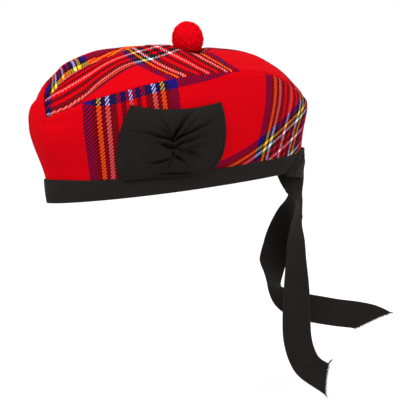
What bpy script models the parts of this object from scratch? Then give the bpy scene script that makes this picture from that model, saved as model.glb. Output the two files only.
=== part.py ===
"""Glengarry: a folding wool cap with tartan sides and top, a black tape headband, a pinched black
rosette on the wearer's left, a felted wool toorie on top and two tape tails at the back.

The front points to -X, the wearer's left to -Y and the crown up +Z. The origin is the centre of the
head opening, in the plane of the headband's lower edge. All sizes are in metres.
"""
import math

import bmesh
import bpy
import numpy as np
from mathutils import Vector
from mathutils.bvhtree import BVHTree

# Head opening, measured to the outer face of the wool at the rim
RIM_FRONT = 0.1145
RIM_BACK = 0.1280
RIM_HALF_WIDTH = 0.0605

# Crown
WOOL = 0.0020
SEAM_FRONT = 0.1095
SEAM_BACK = 0.1425
SEAM_HALF_WIDTH = 0.0615
SEAM_HEIGHT = 0.0990
RIDGE_RISE = 0.0365
RIDGE_ROUNDING = 0.35
PROW_SETBACK = 0.0068
BULGE = 0.0165
BACK_LEAN = 0.0040

# Headband, a tape folded in half over the rim
BAND_HEIGHT = 0.0215
BAND_INSIDE_HEIGHT = 0.0135
BAND_TAPE = 0.0012

# Rosette
ROSETTE_WIDTH = 0.0980
ROSETTE_HEIGHT = 0.0635
ROSETTE_PUFF = 0.0080
ROSETTE_EDGE = 0.0025
ROSETTE_ALONG = -0.0135
ROSETTE_ABOVE_RIM = 0.0455
ROSETTE_TILT = math.radians(-2.5)
ROSETTE_NARROWING = 0.15
ROSETTE_DIP = 0.12
PINCH_LENGTH = 0.0110
PINCH_HEIGHT = 0.0110
PINCH_DEPTH = 0.55

# Toorie
TOORIE_DIAMETER = 0.0290
TOORIE_FLAT = 0.0040
TOORIE_ALONG = 0.0320
TOORIE_TUFTS = 70
TUFT_RELIEF = 0.0007
TOORIE_DIVISIONS = 4
SEAT_DEPTH = 0.0062
SEAT_RADIUS = 0.0195

# Tape of the tails and the fold that gathers them
TAPE_WIDTH = 0.0270
TAPE_THICKNESS = 0.0010
TAIL_FACING = math.radians(20.0)
TAIL_BEHIND_RIM = 0.0025
FOLD_PUFF = 0.0026
FOLD_ABOVE = 0.0170
FOLD_BELOW = 0.0080
FOLD_EDGE = 0.0012
FOLD_REACH_FOOT = math.radians(26.0)
FOLD_REACH_TOP = math.radians(17.0)
FOLD_STEPS_ROUND = 20
FOLD_STEPS_UP = 6

# Clearance between neighbouring pieces, and how far each panel's edge is drawn back from the seam
GAP = 0.0003
SEAM_DRAW = 0.7 * GAP

# Sections of the crown from the front corner of the top panel to the back tip.
# seam_x: share of SEAM_FRONT (-) or SEAM_BACK (+); seam_y: share of SEAM_HALF_WIDTH;
# seam_z: share of SEAM_HEIGHT; rise: ridge above the seam, share of RIDGE_RISE;
# rim_angle: degrees round the rim from the front; bulge: share of BULGE;
# peak: how far up the wall the bulge is fullest; lean: share of BACK_LEAN; band: share of BAND_HEIGHT.
CROWN_COLUMNS = ("seam_x", "seam_y", "seam_z", "rise", "rim_angle", "bulge", "peak", "lean", "band")
CROWN_ROWS = (
    (-1.000, 0.36, 0.782, 0.81, 25.0, 0.45, 0.62, 0.0, 0.93),
    (-0.900, 0.55, 0.823, 0.88, 34.0, 0.42, 0.62, 0.0, 0.88),
    (-0.785, 0.71, 0.870, 0.95, 43.0, 0.40, 0.62, 0.0, 0.84),
    (-0.540, 0.89, 0.922, 1.00, 59.0, 0.38, 0.61, 0.0, 0.78),
    (-0.230, 0.98, 0.974, 0.87, 77.0, 0.37, 0.60, 0.0, 0.74),
    (0.077, 1.00, 1.000, 0.77, 94.0, 0.37, 0.60, 0.1, 0.72),
    (0.397, 0.93, 0.985, 0.61, 115.0, 0.37, 0.62, 0.3, 0.71),
    (0.624, 0.74, 0.923, 0.56, 132.0, 0.38, 0.64, 0.5, 0.72),
    (0.797, 0.46, 0.824, 0.45, 148.0, 0.37, 0.68, 0.7, 0.73),
    (0.909, 0.22, 0.733, 0.27, 163.0, 0.34, 0.71, 0.9, 0.74),
    (1.000, 0.00, 0.657, 0.00, 180.0, 0.30, 0.74, 1.0, 0.75),
)
RIM_TAPER_FRONT = 1.20
RIM_TAPER_BACK = 1.05
PROW_PEAK = 0.63
BULGE_FULLNESS = 0.80
STATIONS_ALONG = 30
STATIONS_PROW = 7
ROWS_UP = 9

# Creases that run out from the rosette's pinched centre. angle: degrees from the back (+X);
# start and length: shares of half the rosette's width; depth: share of ROSETTE_PUFF.
CREASE_COLUMNS = ("angle", "start", "length", "depth")
CREASES = (
    (62.0, 0.03, 0.75, 0.60),
    (25.0, 0.03, 0.60, 0.50),
    (168.0, 0.03, 0.85, 0.50),
    (134.0, 0.03, 0.30, 0.35),
    (-32.0, 0.03, 0.30, 0.45),
    (-55.0, 0.20, 0.45, 0.40),
    (232.0, 0.30, 0.35, 0.40),
)
CREASE_HALF_WIDTH = 0.0026
DEEPEST_CREASE = 0.85
ROSETTE_STEPS_ALONG = 26
ROSETTE_STEPS_UP = 16

# The two tails, from the fold down. x and z: the strip's middle from the back of the rim, and
# depth: the same across the cap, all in shares of TAPE_WIDTH; slant: the strip's width direction
# above the horizontal, and turn: how far its back edge swings away from the wearer's left, both in
# degrees; cut: how far the back edge runs past the front one, in shares of TAPE_WIDTH.
TAIL_COLUMNS = ("x", "z", "depth", "slant", "turn", "cut")
TAIL_LONG = (
    (-0.52, -0.33, -0.22, 0.0, 0.0, 0.0),
    (-0.37, -0.75, -0.22, -8.0, 50.0, 0.0),
    (-0.24, -1.17, -0.22, -12.0, 70.0, 0.0),
    (-0.32, -1.55, -0.22, -8.0, 67.0, 0.0),
    (-0.43, -2.00, -0.22, -8.0, 60.0, 0.0),
    (-0.49, -2.54, -0.22, -6.0, 48.0, 0.0),
    (-0.56, -3.25, -0.22, -8.0, 38.0, 0.0),
    (-0.65, -4.32, -0.22, -9.0, 20.0, 0.0),
    (-0.76, -5.29, -0.22, -7.0, 6.0, 0.0),
    (-0.79, -5.94, -0.22, -1.0, 0.0, 0.0),
    (-0.69, -6.53, -0.22, 12.0, 0.0, 0.0),
    (-0.44, -7.03, -0.22, 31.0, 0.0, 0.0),
    (0.19, -7.58, -0.22, 50.0, 0.0, -0.6),
)
TAIL_CURLED = (
    (-0.03, -0.33, 0.30, 0.0, 75.0, 0.0),
    (-0.12, -0.96, 0.40, -8.0, 62.0, 0.0),
    (-0.43, -1.45, 0.44, -8.0, 45.0, 0.0),
    (-0.78, -2.15, 0.44, -5.0, 25.0, 0.0),
    (-1.05, -2.92, 0.44, -3.0, 0.0, 0.0),
    (-1.15, -3.34, 0.44, -7.0, -21.0, 0.0),
    (-1.20, -3.69, 0.44, -14.0, -45.0, 0.0),
    (-1.20, -4.01, 0.44, -3.0, -66.0, 0.0),
    (-1.13, -4.27, 0.44, 20.0, -64.0, 0.0),
    (-0.93, -4.54, 0.44, 38.0, -43.0, 0.0),
    (-0.60, -4.77, 0.44, 48.0, -20.0, 0.0),
    (-0.21, -4.98, 0.44, 60.0, 0.0, 0.0),
    (0.28, -5.15, 0.44, 66.0, 0.0, 0.0),
    (1.11, -5.42, 0.44, 70.0, 0.0, 0.0),
    (1.85, -5.63, 0.44, 69.0, 0.0, 0.35),
    (2.55, -5.87, 0.44, 68.0, 0.0, 1.20),
)
TAIL_STEPS = 44

# Colour, roughness and metallic value of each material
COLOURS = {
    "tartan_wool": ((0.60, 0.005, 0.015, 1.0), 0.85, 0.0),
    "toorie_wool": ((0.62, 0.005, 0.015, 1.0), 0.95, 0.0),
    "black_tape": ((0.012, 0.010, 0.011, 1.0), 0.70, 0.0),
}


def material(name):
    colour, roughness, metallic = COLOURS[name]
    made = bpy.data.materials.get(name) or bpy.data.materials.new(name)
    made.use_nodes = True
    shader = made.node_tree.nodes["Principled BSDF"]
    shader.inputs["Base Color"].default_value = colour
    shader.inputs["Roughness"].default_value = roughness
    shader.inputs["Metallic"].default_value = metallic
    return made


def row_at(rows, columns, share):
    """The table's row at a share of the way down it, on a smooth curve through all rows."""
    table = np.array(rows)
    place = share * (len(table) - 1)
    i = min(int(place), len(table) - 2)
    t = place - i
    before = table[i - 1] if i > 0 else 2 * table[0] - table[1]
    after = table[i + 2] if i + 2 < len(table) else 2 * table[-1] - table[-2]
    start, end = table[i], table[i + 1]
    slope_in = (end - before) / 2
    slope_out = (after - start) / 2
    value = ((2 * t**3 - 3 * t**2 + 1) * start + (t**3 - 2 * t**2 + t) * slope_in
             + (3 * t**2 - 2 * t**3) * end + (t**3 - t**2) * slope_out)
    return dict(zip(columns, value))


def rim_plan(angle):
    """Where the near half of the rim is, in plan, at an angle round it from the front."""
    length, taper = (RIM_FRONT, RIM_TAPER_FRONT) if math.cos(angle) > 0 else (RIM_BACK, RIM_TAPER_BACK)
    return np.array([-length * math.cos(angle), -RIM_HALF_WIDTH * max(math.sin(angle), 0.0) ** taper, 0.0])


def rim_out(angle):
    """The level direction out of the rim."""
    step = math.radians(0.5)
    if angle < step or angle > math.pi - step:
        return np.array([-math.copysign(1.0, math.cos(angle)), 0.0, 0.0])
    along = rim_plan(angle + step) - rim_plan(angle - step)
    out = np.array([along[1], -along[0], 0.0])
    return out / np.linalg.norm(out)


def crown_section(share):
    """The seam point, the ridge point and the wall's values at a share of the way to the back."""
    row = row_at(CROWN_ROWS, CROWN_COLUMNS, share)
    x = row["seam_x"] * (SEAM_FRONT if row["seam_x"] < 0 else SEAM_BACK)
    y = -max(row["seam_y"], 0.0) * SEAM_HALF_WIDTH
    z = row["seam_z"] * SEAM_HEIGHT
    rise = max(row["rise"], 0.0) * RIDGE_RISE
    ridge_x = x + PROW_SETBACK * (1 - share) ** 3
    return row, np.array([x, y, z]), np.array([ridge_x, 0.0, z + rise])


def seat_drop(x, y):
    """How far the top panel is drawn down where the toorie is sewn on."""
    near = ((x - TOORIE_ALONG) ** 2 + y**2) / SEAT_RADIUS**2
    return SEAT_DEPTH * max(1 - near, 0.0) ** 2


def roof(side):
    """The top panel's cross profile, 0 at a seam and 1 at the ridge: flanks that meet in a rounded crease."""
    at_seam = math.hypot(1.0, RIDGE_ROUNDING)
    return (at_seam - math.hypot(side, RIDGE_ROUNDING)) / (at_seam - RIDGE_ROUNDING)


def top_point(share, across):
    """On the top panel: across is 0 at the near seam, 1 on the ridge and 2 at the far seam."""
    row, seam, ridge = crown_section(share)
    side = 1 - across
    point = seam + (ridge - seam) * roof(side)
    point[1] = seam[1] * side
    point[2] -= seat_drop(point[0], point[1])
    return point


def wall_stations():
    """Values of each wall section, front to back: first those that end on the top panel's front edge."""
    corner = row_at(CROWN_ROWS, CROWN_COLUMNS, 0.0)
    for k in range(STATIONS_PROW):
        share = k / STATIONS_PROW
        yield {
            "upper": top_point(0.0, 1 - share),
            "angle": math.radians(corner["rim_angle"]) * share,
            "bulge": 1 + (corner["bulge"] - 1) * share,
            "peak": PROW_PEAK + (corner["peak"] - PROW_PEAK) * share,
            "lean": 0.0,
            "band": 1 + (corner["band"] - 1) * share,
        }
    for k in range(STATIONS_ALONG + 1):
        share = k / STATIONS_ALONG
        row = crown_section(share)[0]
        yield {"upper": top_point(share, 0.0), "angle": math.radians(row["rim_angle"]),
               "bulge": row["bulge"], "peak": row["peak"], "lean": row["lean"], "band": row["band"]}


def wall_section(station):
    """Outer face of the wool from the rim up to the seam."""
    out = rim_out(station["angle"])
    band_top = station["band"] * BAND_HEIGHT

    def behind_band(up):
        lean = station["lean"] * BACK_LEAN * up / band_top
        return rim_plan(station["angle"]) + out * lean + np.array([0.0, 0.0, up])

    shoulder = behind_band(band_top + GAP)
    points = [behind_band(BAND_TAPE + GAP), behind_band(band_top / 2), shoulder]
    skew = math.log(0.5) / math.log(station["peak"])
    for k in range(1, ROWS_UP + 1):
        t = k / ROWS_UP
        hump = math.sin(math.pi * t**skew) ** BULGE_FULLNESS if k < ROWS_UP else 0.0
        points.append(shoulder + (station["upper"] - shoulder) * t + out * station["bulge"] * BULGE * hump)
    return points


def mirrored(grid):
    return grid * np.array([1.0, -1.0, 1.0])


def unit(vectors):
    length = np.linalg.norm(vectors, axis=-1, keepdims=True)
    return vectors / np.where(length > 1e-9, length, 1.0)


def skin_normals(grids):
    """Outward normals of grids that share their edges; a grid's sign is -1 if it is mirrored."""
    total = {}

    def keys(grid):
        return [[tuple(point) for point in row] for row in np.round(grid * 1e6).astype(int)]

    named = [keys(grid) for grid, sign in grids]
    for (grid, sign), names in zip(grids, named):
        for i in range(len(grid) - 1):
            for j in range(len(grid[0]) - 1):
                face = np.cross(grid[i + 1, j + 1] - grid[i, j], grid[i, j + 1] - grid[i + 1, j]) * sign
                for name in {names[i][j], names[i + 1][j], names[i][j + 1], names[i + 1][j + 1]}:
                    total[name] = total.get(name, 0) + unit(face)
    return [np.array([[unit(total[name]) for name in row] for row in names]) for names in named]


def object_from(name, points, faces, skin):
    mesh = bpy.data.meshes.new(name)
    mesh.from_pydata([tuple(point) for point in points], [], faces)
    mesh.validate()
    made = bpy.data.objects.new(name, mesh)
    bpy.context.scene.collection.objects.link(made)
    mesh.materials.append(material(skin))
    mesh.shade_smooth()
    mesh.set_sharp_from_angle(angle=math.radians(40))
    return made


def slab(name, outer, inner, skin):
    """A closed solid between two grids of points; rows * columns face out of the outer one."""
    rows, columns = outer.shape[:2]
    points = [*outer.reshape(-1, 3), *inner.reshape(-1, 3)]
    back = rows * columns

    def at(i, j):
        return i * columns + j

    faces = []
    for i in range(rows - 1):
        for j in range(columns - 1):
            quad = (at(i, j), at(i + 1, j), at(i + 1, j + 1), at(i, j + 1))
            faces.append(quad)
            faces.append(tuple(back + corner for corner in reversed(quad)))
        for j, flip in ((0, False), (columns - 1, True)):
            quad = (at(i, j), back + at(i, j), back + at(i + 1, j), at(i + 1, j))
            faces.append(quad[::-1] if flip else quad)
    for i, flip in ((0, True), (rows - 1, False)):
        for j in range(columns - 1):
            quad = (at(i, j), back + at(i, j), back + at(i, j + 1), at(i, j + 1))
            faces.append(quad[::-1] if flip else quad)
    return object_from(name, points, faces, skin)


def weld(made):
    """Join the points that meet at a tip."""
    work = bmesh.new()
    work.from_mesh(made.data)
    bmesh.ops.remove_doubles(work, verts=work.verts, dist=1e-5)
    bmesh.ops.dissolve_degenerate(work, edges=work.edges, dist=1e-6)
    work.to_mesh(made.data)
    work.free()


def crown():
    """The two side panels and the top panel."""
    stations = list(wall_stations())
    wall = np.array([wall_section(station) for station in stations])
    across = 2 * STATIONS_PROW
    top = np.array([[top_point(i / STATIONS_ALONG, j / STATIONS_PROW) for j in range(across + 1)]
                    for i in range(STATIONS_ALONG + 1)])
    wall_normals, _, top_normals = skin_normals([(wall, 1), (mirrored(wall), -1), (top, 1)])
    for i, station in enumerate(stations):
        wall_normals[i, :3] = rim_out(station["angle"])

    wall_inner = wall - wall_normals * WOOL
    edge = unit(wall[:, -2] - wall[:, -1]) * SEAM_DRAW
    wall[:, -1] += edge
    wall_inner[:, -1] += edge
    for grid in (wall, wall_inner):
        grid[..., 1] = np.minimum(grid[..., 1], -GAP / 2)

    top_inner = top - top_normals * WOOL
    shift = np.zeros_like(top)
    shift[:, 0] += unit(top[:, 1] - top[:, 0]) * SEAM_DRAW
    shift[:, -1] += unit(top[:, -2] - top[:, -1]) * SEAM_DRAW
    shift[0] += unit(top[1] - top[0]) * SEAM_DRAW
    shift[-1] = unit(top[-2, STATIONS_PROW] - top[-1, STATIONS_PROW]) * 2 * SEAM_DRAW
    top += shift
    top_inner += shift

    left = slab("side_left", wall, wall_inner, "tartan_wool")
    slab("side_right", mirrored(wall)[::-1], mirrored(wall_inner)[::-1], "tartan_wool")
    panel = slab("top_panel", top, top_inner, "tartan_wool")
    weld(panel)
    return stations, left, panel


def ring_angles(stations):
    """Every station's angle round the whole rim, the far side past 180 degrees."""
    near = [station["angle"] for station in stations]
    return near + [2 * math.pi - angle for angle in reversed(near[1:-1])]


def near_value(stations, angle, name):
    """A station's value at an angle anywhere round the rim; both sides are alike."""
    angles = [station["angle"] for station in stations]
    values = [station[name] for station in stations]
    return np.interp(min(angle, 2 * math.pi - angle), angles, values)


def beside_rim(stations, angle, out, up):
    """A point outside the wool's outer face at a height, anywhere round the rim."""
    near = min(angle, 2 * math.pi - angle)
    band_top = near_value(stations, angle, "band") * BAND_HEIGHT
    lean = near_value(stations, angle, "lean") * BACK_LEAN * up / band_top
    point = rim_plan(near) + rim_out(near) * (out + lean) + np.array([0.0, 0.0, up])
    return point if angle <= math.pi else point * np.array([1.0, -1.0, 1.0])


def headband(stations):
    """The tape folded over the rim: an outer leg, the fold below and an inner leg."""
    bend = BAND_TAPE * 0.5
    outside = GAP + BAND_TAPE
    inside = -WOOL - GAP - BAND_TAPE
    ring = []
    for angle in ring_angles(stations):
        top = near_value(stations, angle, "band") * BAND_HEIGHT
        profile = (
            (outside - bend, 0.0), (outside, bend), (outside, top), (GAP, top), (GAP, BAND_TAPE),
            (-WOOL - GAP, BAND_TAPE), (-WOOL - GAP, BAND_INSIDE_HEIGHT), (inside, BAND_INSIDE_HEIGHT),
            (inside, bend), (inside + bend, 0.0),
        )
        ring.append([beside_rim(stations, angle, out, up) for out, up in profile])
    rows, columns = len(ring), len(ring[0])
    faces = [((i + 1) % rows * columns + j, (i + 1) % rows * columns + (j + 1) % columns,
              i * columns + (j + 1) % columns, i * columns + j)
             for i in range(rows) for j in range(columns)]
    return object_from("headband", [point for row in ring for point in row], faces, "black_tape")


def surface_of(made):
    """The object's faces, ready for measuring along a line."""
    mesh = made.data
    return BVHTree.FromPolygons([v.co for v in mesh.vertices], [face.vertices[:] for face in mesh.polygons])


def outermost(made):
    """A function that gives the outermost face towards -Y over a small patch round x and z."""
    surfaces = [surface_of(one) for one in made]
    patch = (-WOOL, 0.0, WOOL)
    far = -2 * (SEAM_HALF_WIDTH + BULGE)

    def at(x, z):
        spots = [Vector((x + dx, far, z + dz)) for dx in patch for dz in patch]
        hits = [surface.ray_cast(spot, Vector((0.0, 1.0, 0.0)))[0] for surface in surfaces for spot in spots]
        return min(hit.y for hit in hits if hit is not None)
    return at


def crease_depth(across, up):
    """Depth of the creases at a point measured from the pinch, as a share of the puff."""
    depth = 0.0
    half = ROSETTE_WIDTH / 2
    for values in CREASES:
        crease = dict(zip(CREASE_COLUMNS, values))
        angle = math.radians(crease["angle"])
        along = across * math.cos(angle) + up * math.sin(angle)
        aside = -across * math.sin(angle) + up * math.cos(angle)
        start, length = crease["start"] * half, crease["length"] * half
        from_start = min(max(5 * (along - start) / length, 0.0), 1.0)
        to_end = min(max(2 * (start + length - along) / length, 0.0), 1.0)
        depth += crease["depth"] * from_start * to_end * math.exp(-(aside / CREASE_HALF_WIDTH) ** 2)
    return min(depth, DEEPEST_CREASE)


def rosette(made):
    """A wide tape laid flat on the side and pinched at its centre, so that both halves puff."""
    surface = outermost(made)
    front, back = [], []
    for i in range(ROSETTE_STEPS_ALONG + 1):
        a = 2 * i / ROSETTE_STEPS_ALONG - 1
        front.append([])
        back.append([])
        for j in range(ROSETTE_STEPS_UP + 1):
            b = 2 * j / ROSETTE_STEPS_UP - 1
            across = a * ROSETTE_WIDTH / 2 * (1 - ROSETTE_NARROWING * b**2)
            up = b * ROSETTE_HEIGHT / 2 * (1 - ROSETTE_DIP * (1 - a**2))
            x = ROSETTE_ALONG + across * math.cos(ROSETTE_TILT) - up * math.sin(ROSETTE_TILT)
            z = ROSETTE_ABOVE_RIM + across * math.sin(ROSETTE_TILT) + up * math.cos(ROSETTE_TILT)
            rest = surface(x, z) - GAP
            pinch = math.exp(-(across / PINCH_LENGTH) ** 2 - (up / PINCH_HEIGHT) ** 2)
            lobe = (1 - a**4) * (1 - b**4) * (1 - PINCH_DEPTH * pinch)
            swell = lobe * (1 - crease_depth(across, up))
            back[-1].append(np.array([x, rest, z]))
            front[-1].append(np.array([x, rest - ROSETTE_EDGE - ROSETTE_PUFF * swell, z]))
    return slab("rosette", np.array(front), np.array(back), "black_tape")


def toorie(panel):
    """A ball of clipped wool: an even spread of tufts raised on a sphere, seated in the top's dip."""
    golden = math.pi * (3 - math.sqrt(5))
    tufts = []
    for k in range(TOORIE_TUFTS):
        height = 1 - 2 * (k + 0.5) / TOORIE_TUFTS
        ring = math.sqrt(1 - height**2)
        tufts.append((ring * math.cos(golden * k), ring * math.sin(golden * k), height))
    tufts = np.array(tufts)
    spread = 2 / math.sqrt(TOORIE_TUFTS)
    radius = TOORIE_DIAMETER / 2
    foot = radius - TOORIE_FLAT
    bpy.ops.mesh.primitive_ico_sphere_add(subdivisions=TOORIE_DIVISIONS, radius=1.0)
    ball = bpy.context.object
    ball.name = ball.data.name = "toorie"
    for vertex in ball.data.vertices:
        way = np.array(vertex.co.normalized())
        off = math.sqrt(max(2 - 2 * float(np.max(tufts @ way)), 0.0))
        relief = TUFT_RELIEF * (1 - min(off / spread, 1.0) ** 2)
        vertex.co = Vector(way * (radius - TUFT_RELIEF + relief))
        vertex.co.z = max(vertex.co.z, -foot)
    seat = surface_of(panel)
    centre = 0.0
    for vertex in ball.data.vertices:
        above = Vector((TOORIE_ALONG + vertex.co.x, vertex.co.y, 2 * (SEAM_HEIGHT + RIDGE_RISE)))
        hit = seat.ray_cast(above, Vector((0, 0, -1)))[0]
        if hit is not None:
            centre = max(centre, hit.z + GAP - vertex.co.z)
    ball.location = (TOORIE_ALONG, 0.0, centre)
    ball.data.materials.append(material("toorie_wool"))
    ball.data.shade_smooth()
    return ball


def tail_fold(stations):
    """The tape folded round the back of the headband, longer forward at its foot."""
    rest = 2 * GAP + BAND_TAPE
    outer, inner = [], []
    for i in range(FOLD_STEPS_ROUND + 1):
        across = 2 * i / FOLD_STEPS_ROUND - 1
        outer.append([])
        inner.append([])
        for j in range(FOLD_STEPS_UP + 1):
            share = j / FOLD_STEPS_UP
            up = -FOLD_BELOW + (FOLD_ABOVE + FOLD_BELOW) * share
            angle = math.pi + across * (FOLD_REACH_FOOT + (FOLD_REACH_TOP - FOLD_REACH_FOOT) * share)
            puff = FOLD_EDGE + (FOLD_PUFF - FOLD_EDGE) * (1 - across**2) * 4 * share * (1 - share)
            outer[-1].append(beside_rim(stations, angle, rest + puff, up))
            inner[-1].append(beside_rim(stations, angle, rest, up))
    return slab("tail_fold", np.array(outer), np.array(inner), "black_tape")


def tail(name, rows):
    """A strip of tape along the table's rows, turned about its own length."""
    aside = np.array([math.cos(TAIL_FACING), -math.sin(TAIL_FACING), 0.0])
    away = np.array([math.sin(TAIL_FACING), math.cos(TAIL_FACING), 0.0])
    up = np.array([0.0, 0.0, 1.0])
    middles, widths, cuts = [], [], []
    for k in range(TAIL_STEPS + 1):
        row = row_at(rows, TAIL_COLUMNS, k / TAIL_STEPS)
        slant, turn = math.radians(row["slant"]), math.radians(row["turn"])
        middles.append(np.array([RIM_BACK + TAIL_BEHIND_RIM, 0.0, 0.0])
                       + TAPE_WIDTH * np.array([row["x"], row["depth"], row["z"]]))
        tilted = math.cos(slant) * aside + math.sin(slant) * up
        widths.append(math.cos(turn) * tilted + math.sin(turn) * away)
        cuts.append(row["cut"])
    middles, widths = np.array(middles), np.array(widths)
    ahead = unit(np.gradient(middles, axis=0))
    half = widths * TAPE_WIDTH / 2 + ahead * np.array(cuts)[:, None] * TAPE_WIDTH / 2
    normals = unit(np.cross(widths, ahead))
    strip = np.stack([middles + half * share for share in (1.0, 1 / 3, -1 / 3, -1.0)], axis=1)
    lift = normals[:, None, :] * TAPE_THICKNESS / 2
    return slab(name, strip + lift, strip - lift, "black_tape")


def build():
    for old in list(bpy.data.objects):
        bpy.data.objects.remove(old, do_unlink=True)
    stations, left, panel = crown()
    band = headband(stations)
    rosette((left, band))
    toorie(panel)
    tail_fold(stations)
    tail("tail_long", TAIL_LONG)
    tail("tail_curled", TAIL_CURLED)


build()
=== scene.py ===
"""Glengarry: a folding tartan wool cap with a black tape headband, a pinched rosette on the wearer's
left, a felted toorie and two hanging tape tails. The front points to -X, the wearer's left to -Y.
"""
import math

import bmesh
import bpy
import numpy as np
from mathutils import Matrix, Vector, noise
from mathutils.bvhtree import BVHTree


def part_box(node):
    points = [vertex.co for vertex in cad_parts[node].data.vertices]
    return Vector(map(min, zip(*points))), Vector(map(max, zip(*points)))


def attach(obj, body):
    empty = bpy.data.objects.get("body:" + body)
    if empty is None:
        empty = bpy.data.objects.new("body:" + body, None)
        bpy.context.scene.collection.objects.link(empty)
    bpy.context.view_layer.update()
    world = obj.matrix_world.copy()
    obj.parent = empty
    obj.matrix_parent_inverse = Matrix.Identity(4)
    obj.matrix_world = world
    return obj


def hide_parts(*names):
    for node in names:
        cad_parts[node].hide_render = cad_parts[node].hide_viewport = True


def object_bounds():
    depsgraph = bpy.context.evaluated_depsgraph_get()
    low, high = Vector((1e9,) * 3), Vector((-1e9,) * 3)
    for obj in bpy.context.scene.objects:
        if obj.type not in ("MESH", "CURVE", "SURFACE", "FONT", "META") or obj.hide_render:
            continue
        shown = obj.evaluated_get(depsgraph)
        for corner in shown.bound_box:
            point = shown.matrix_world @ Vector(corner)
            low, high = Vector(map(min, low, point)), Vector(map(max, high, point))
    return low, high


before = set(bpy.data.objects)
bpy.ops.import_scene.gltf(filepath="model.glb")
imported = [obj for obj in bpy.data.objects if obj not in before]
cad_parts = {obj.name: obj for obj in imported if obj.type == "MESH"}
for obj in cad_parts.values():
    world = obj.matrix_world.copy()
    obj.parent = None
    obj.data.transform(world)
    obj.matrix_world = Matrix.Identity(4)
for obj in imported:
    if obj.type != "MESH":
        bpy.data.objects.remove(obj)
cad_box = [list(corner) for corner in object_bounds()]


# ---- Near side panel
# One of two mirrored panels of milled wool tartan, cut long and low, that meet in a proud prow at the
# front and in the back tip. It is sewn to the headband below and the top panel above, edges inside.
MM = 0.001
UP = np.array([0.0, 0.0, 1.0])
WOOL = 0.0020
GAP = 0.0003
BAND_HEIGHT = 0.0215
BAND_TAPE = 0.0012
# The rim in plan: its tips ahead of and behind the middle of the head, and how bluntly they end
RIM_FRONT = 0.1145
RIM_BACK = 0.1280
RIM_HALF_WIDTH = 0.0605
RIM_TAPER_FRONT = 1.20
RIM_TAPER_BACK = 1.05
# The seam to the top panel, and the ridge above it
SEAM_FRONT = 0.1095
SEAM_BACK = 0.1425
SEAM_HALF_WIDTH = 0.0615
SEAM_HEIGHT = 0.0990
RIDGE_RISE = 0.0365
RIDGE_ROUNDING = 0.35
# The crown's front edge lies back in its middle, and its near corner is drawn ahead and down
PROW_SETBACK = 0.0068
CORNER_AHEAD = 0.0042
CORNER_LOWER = 0.0018
CORNER_REACH = 0.14
BULGE = 0.0165
BULGE_FULLNESS = 0.80
BACK_LEAN = 0.0040
# The hollow that the toorie's stitches draw into the ridge
TOORIE_ALONG = 0.0320
SEAT_DEPTH = 0.0102
SEAT_HALF_LENGTH = 0.0200
SEAT_HALF_WIDTH = 0.0260
SEAT_NEARER = 0.0050

# Sections from the front corner of the top panel to the back tip, in shares of the sizes above:
# seam x, seam y, seam height, ridge rise, degrees round the rim, bulge, where it peaks, lean, band
CROWN_ROWS = (
    (-1.000, 0.36, 0.782, 0.81, 25.0, 0.45, 0.62, 0.0, 0.93),
    (-0.900, 0.55, 0.823, 0.88, 34.0, 0.42, 0.62, 0.0, 0.88),
    (-0.785, 0.71, 0.870, 0.95, 43.0, 0.40, 0.62, 0.0, 0.84),
    (-0.540, 0.89, 0.922, 1.00, 59.0, 0.38, 0.61, 0.0, 0.78),
    (-0.230, 0.98, 0.974, 0.87, 77.0, 0.37, 0.60, 0.0, 0.74),
    (0.077, 1.00, 1.000, 0.77, 94.0, 0.37, 0.60, 0.1, 0.72),
    (0.397, 0.93, 0.985, 0.61, 115.0, 0.37, 0.62, 0.3, 0.71),
    (0.624, 0.74, 0.923, 0.56, 132.0, 0.38, 0.64, 0.5, 0.72),
    (0.797, 0.46, 0.824, 0.45, 148.0, 0.37, 0.68, 0.7, 0.73),
    (0.909, 0.22, 0.733, 0.27, 163.0, 0.34, 0.71, 0.9, 0.74),
    (1.000, 0.00, 0.657, 0.00, 180.0, 0.30, 0.74, 1.0, 0.75),
)
# The last five of those at the front centre, on the prow
PROW_ROW = (0.0, 1.0, 0.63, 0.0, 1.0)
PROW_STATIONS = 26
ALONG_STATIONS = 190
BEHIND_BAND_ROWS = 6
WALL_ROWS = 64
# In mm: how deep and over what width a seam's edge rolls in, how high the cloth puffs behind it, and
# how far puckers reach from it
EDGE_ROLL = 1.0
EDGE_REACH = 2.4
EDGE_PUFF = 0.45
PUCKER_REACH = 7.0
# Where behind the edge the cloth puffs and over what width, in widths of the roll
PUFF_AT = 2.2
PUFF_WIDTH = 1.3
SHORT_OF_MIDDLE = 0.00003


def steps(count):
    """Shares from 0 to 1 in equal steps."""
    return np.linspace(0.0, 1.0, count + 1)


def within(values):
    return np.clip(values, 0.0, 1.0)


def soft_step(values):
    """Values held between 0 and 1, with a soft start and end."""
    held = within(values)
    return held * held * (3 - 2 * held)


def hill(away, width):
    """A round hill, 1 high where away is 0."""
    return np.exp(-(away / width) ** 2)


def row_at(rows, shares):
    """The table's columns at shares of the way down it, on a smooth curve through all rows."""
    table = np.array(rows, float)
    place = np.asarray(shares, float) * (len(table) - 1)
    i = np.clip(place.astype(int), 0, len(table) - 2)
    t = (place - i)[..., None]
    padded = np.vstack([2 * table[0] - table[1], table, 2 * table[-1] - table[-2]])
    before, start, end, after = (padded[i + k] for k in range(4))
    slope_in, slope_out = (end - before) / 2, (after - start) / 2
    value = ((2 * t**3 - 3 * t**2 + 1) * start + (t**3 - 2 * t**2 + t) * slope_in
             + (3 * t**2 - 2 * t**3) * end + (t**3 - t**2) * slope_out)
    return np.moveaxis(value, -1, 0)


def unit(vectors):
    length = np.linalg.norm(vectors, axis=-1, keepdims=True)
    return vectors / np.where(length > 1e-9, length, 1.0)


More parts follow.
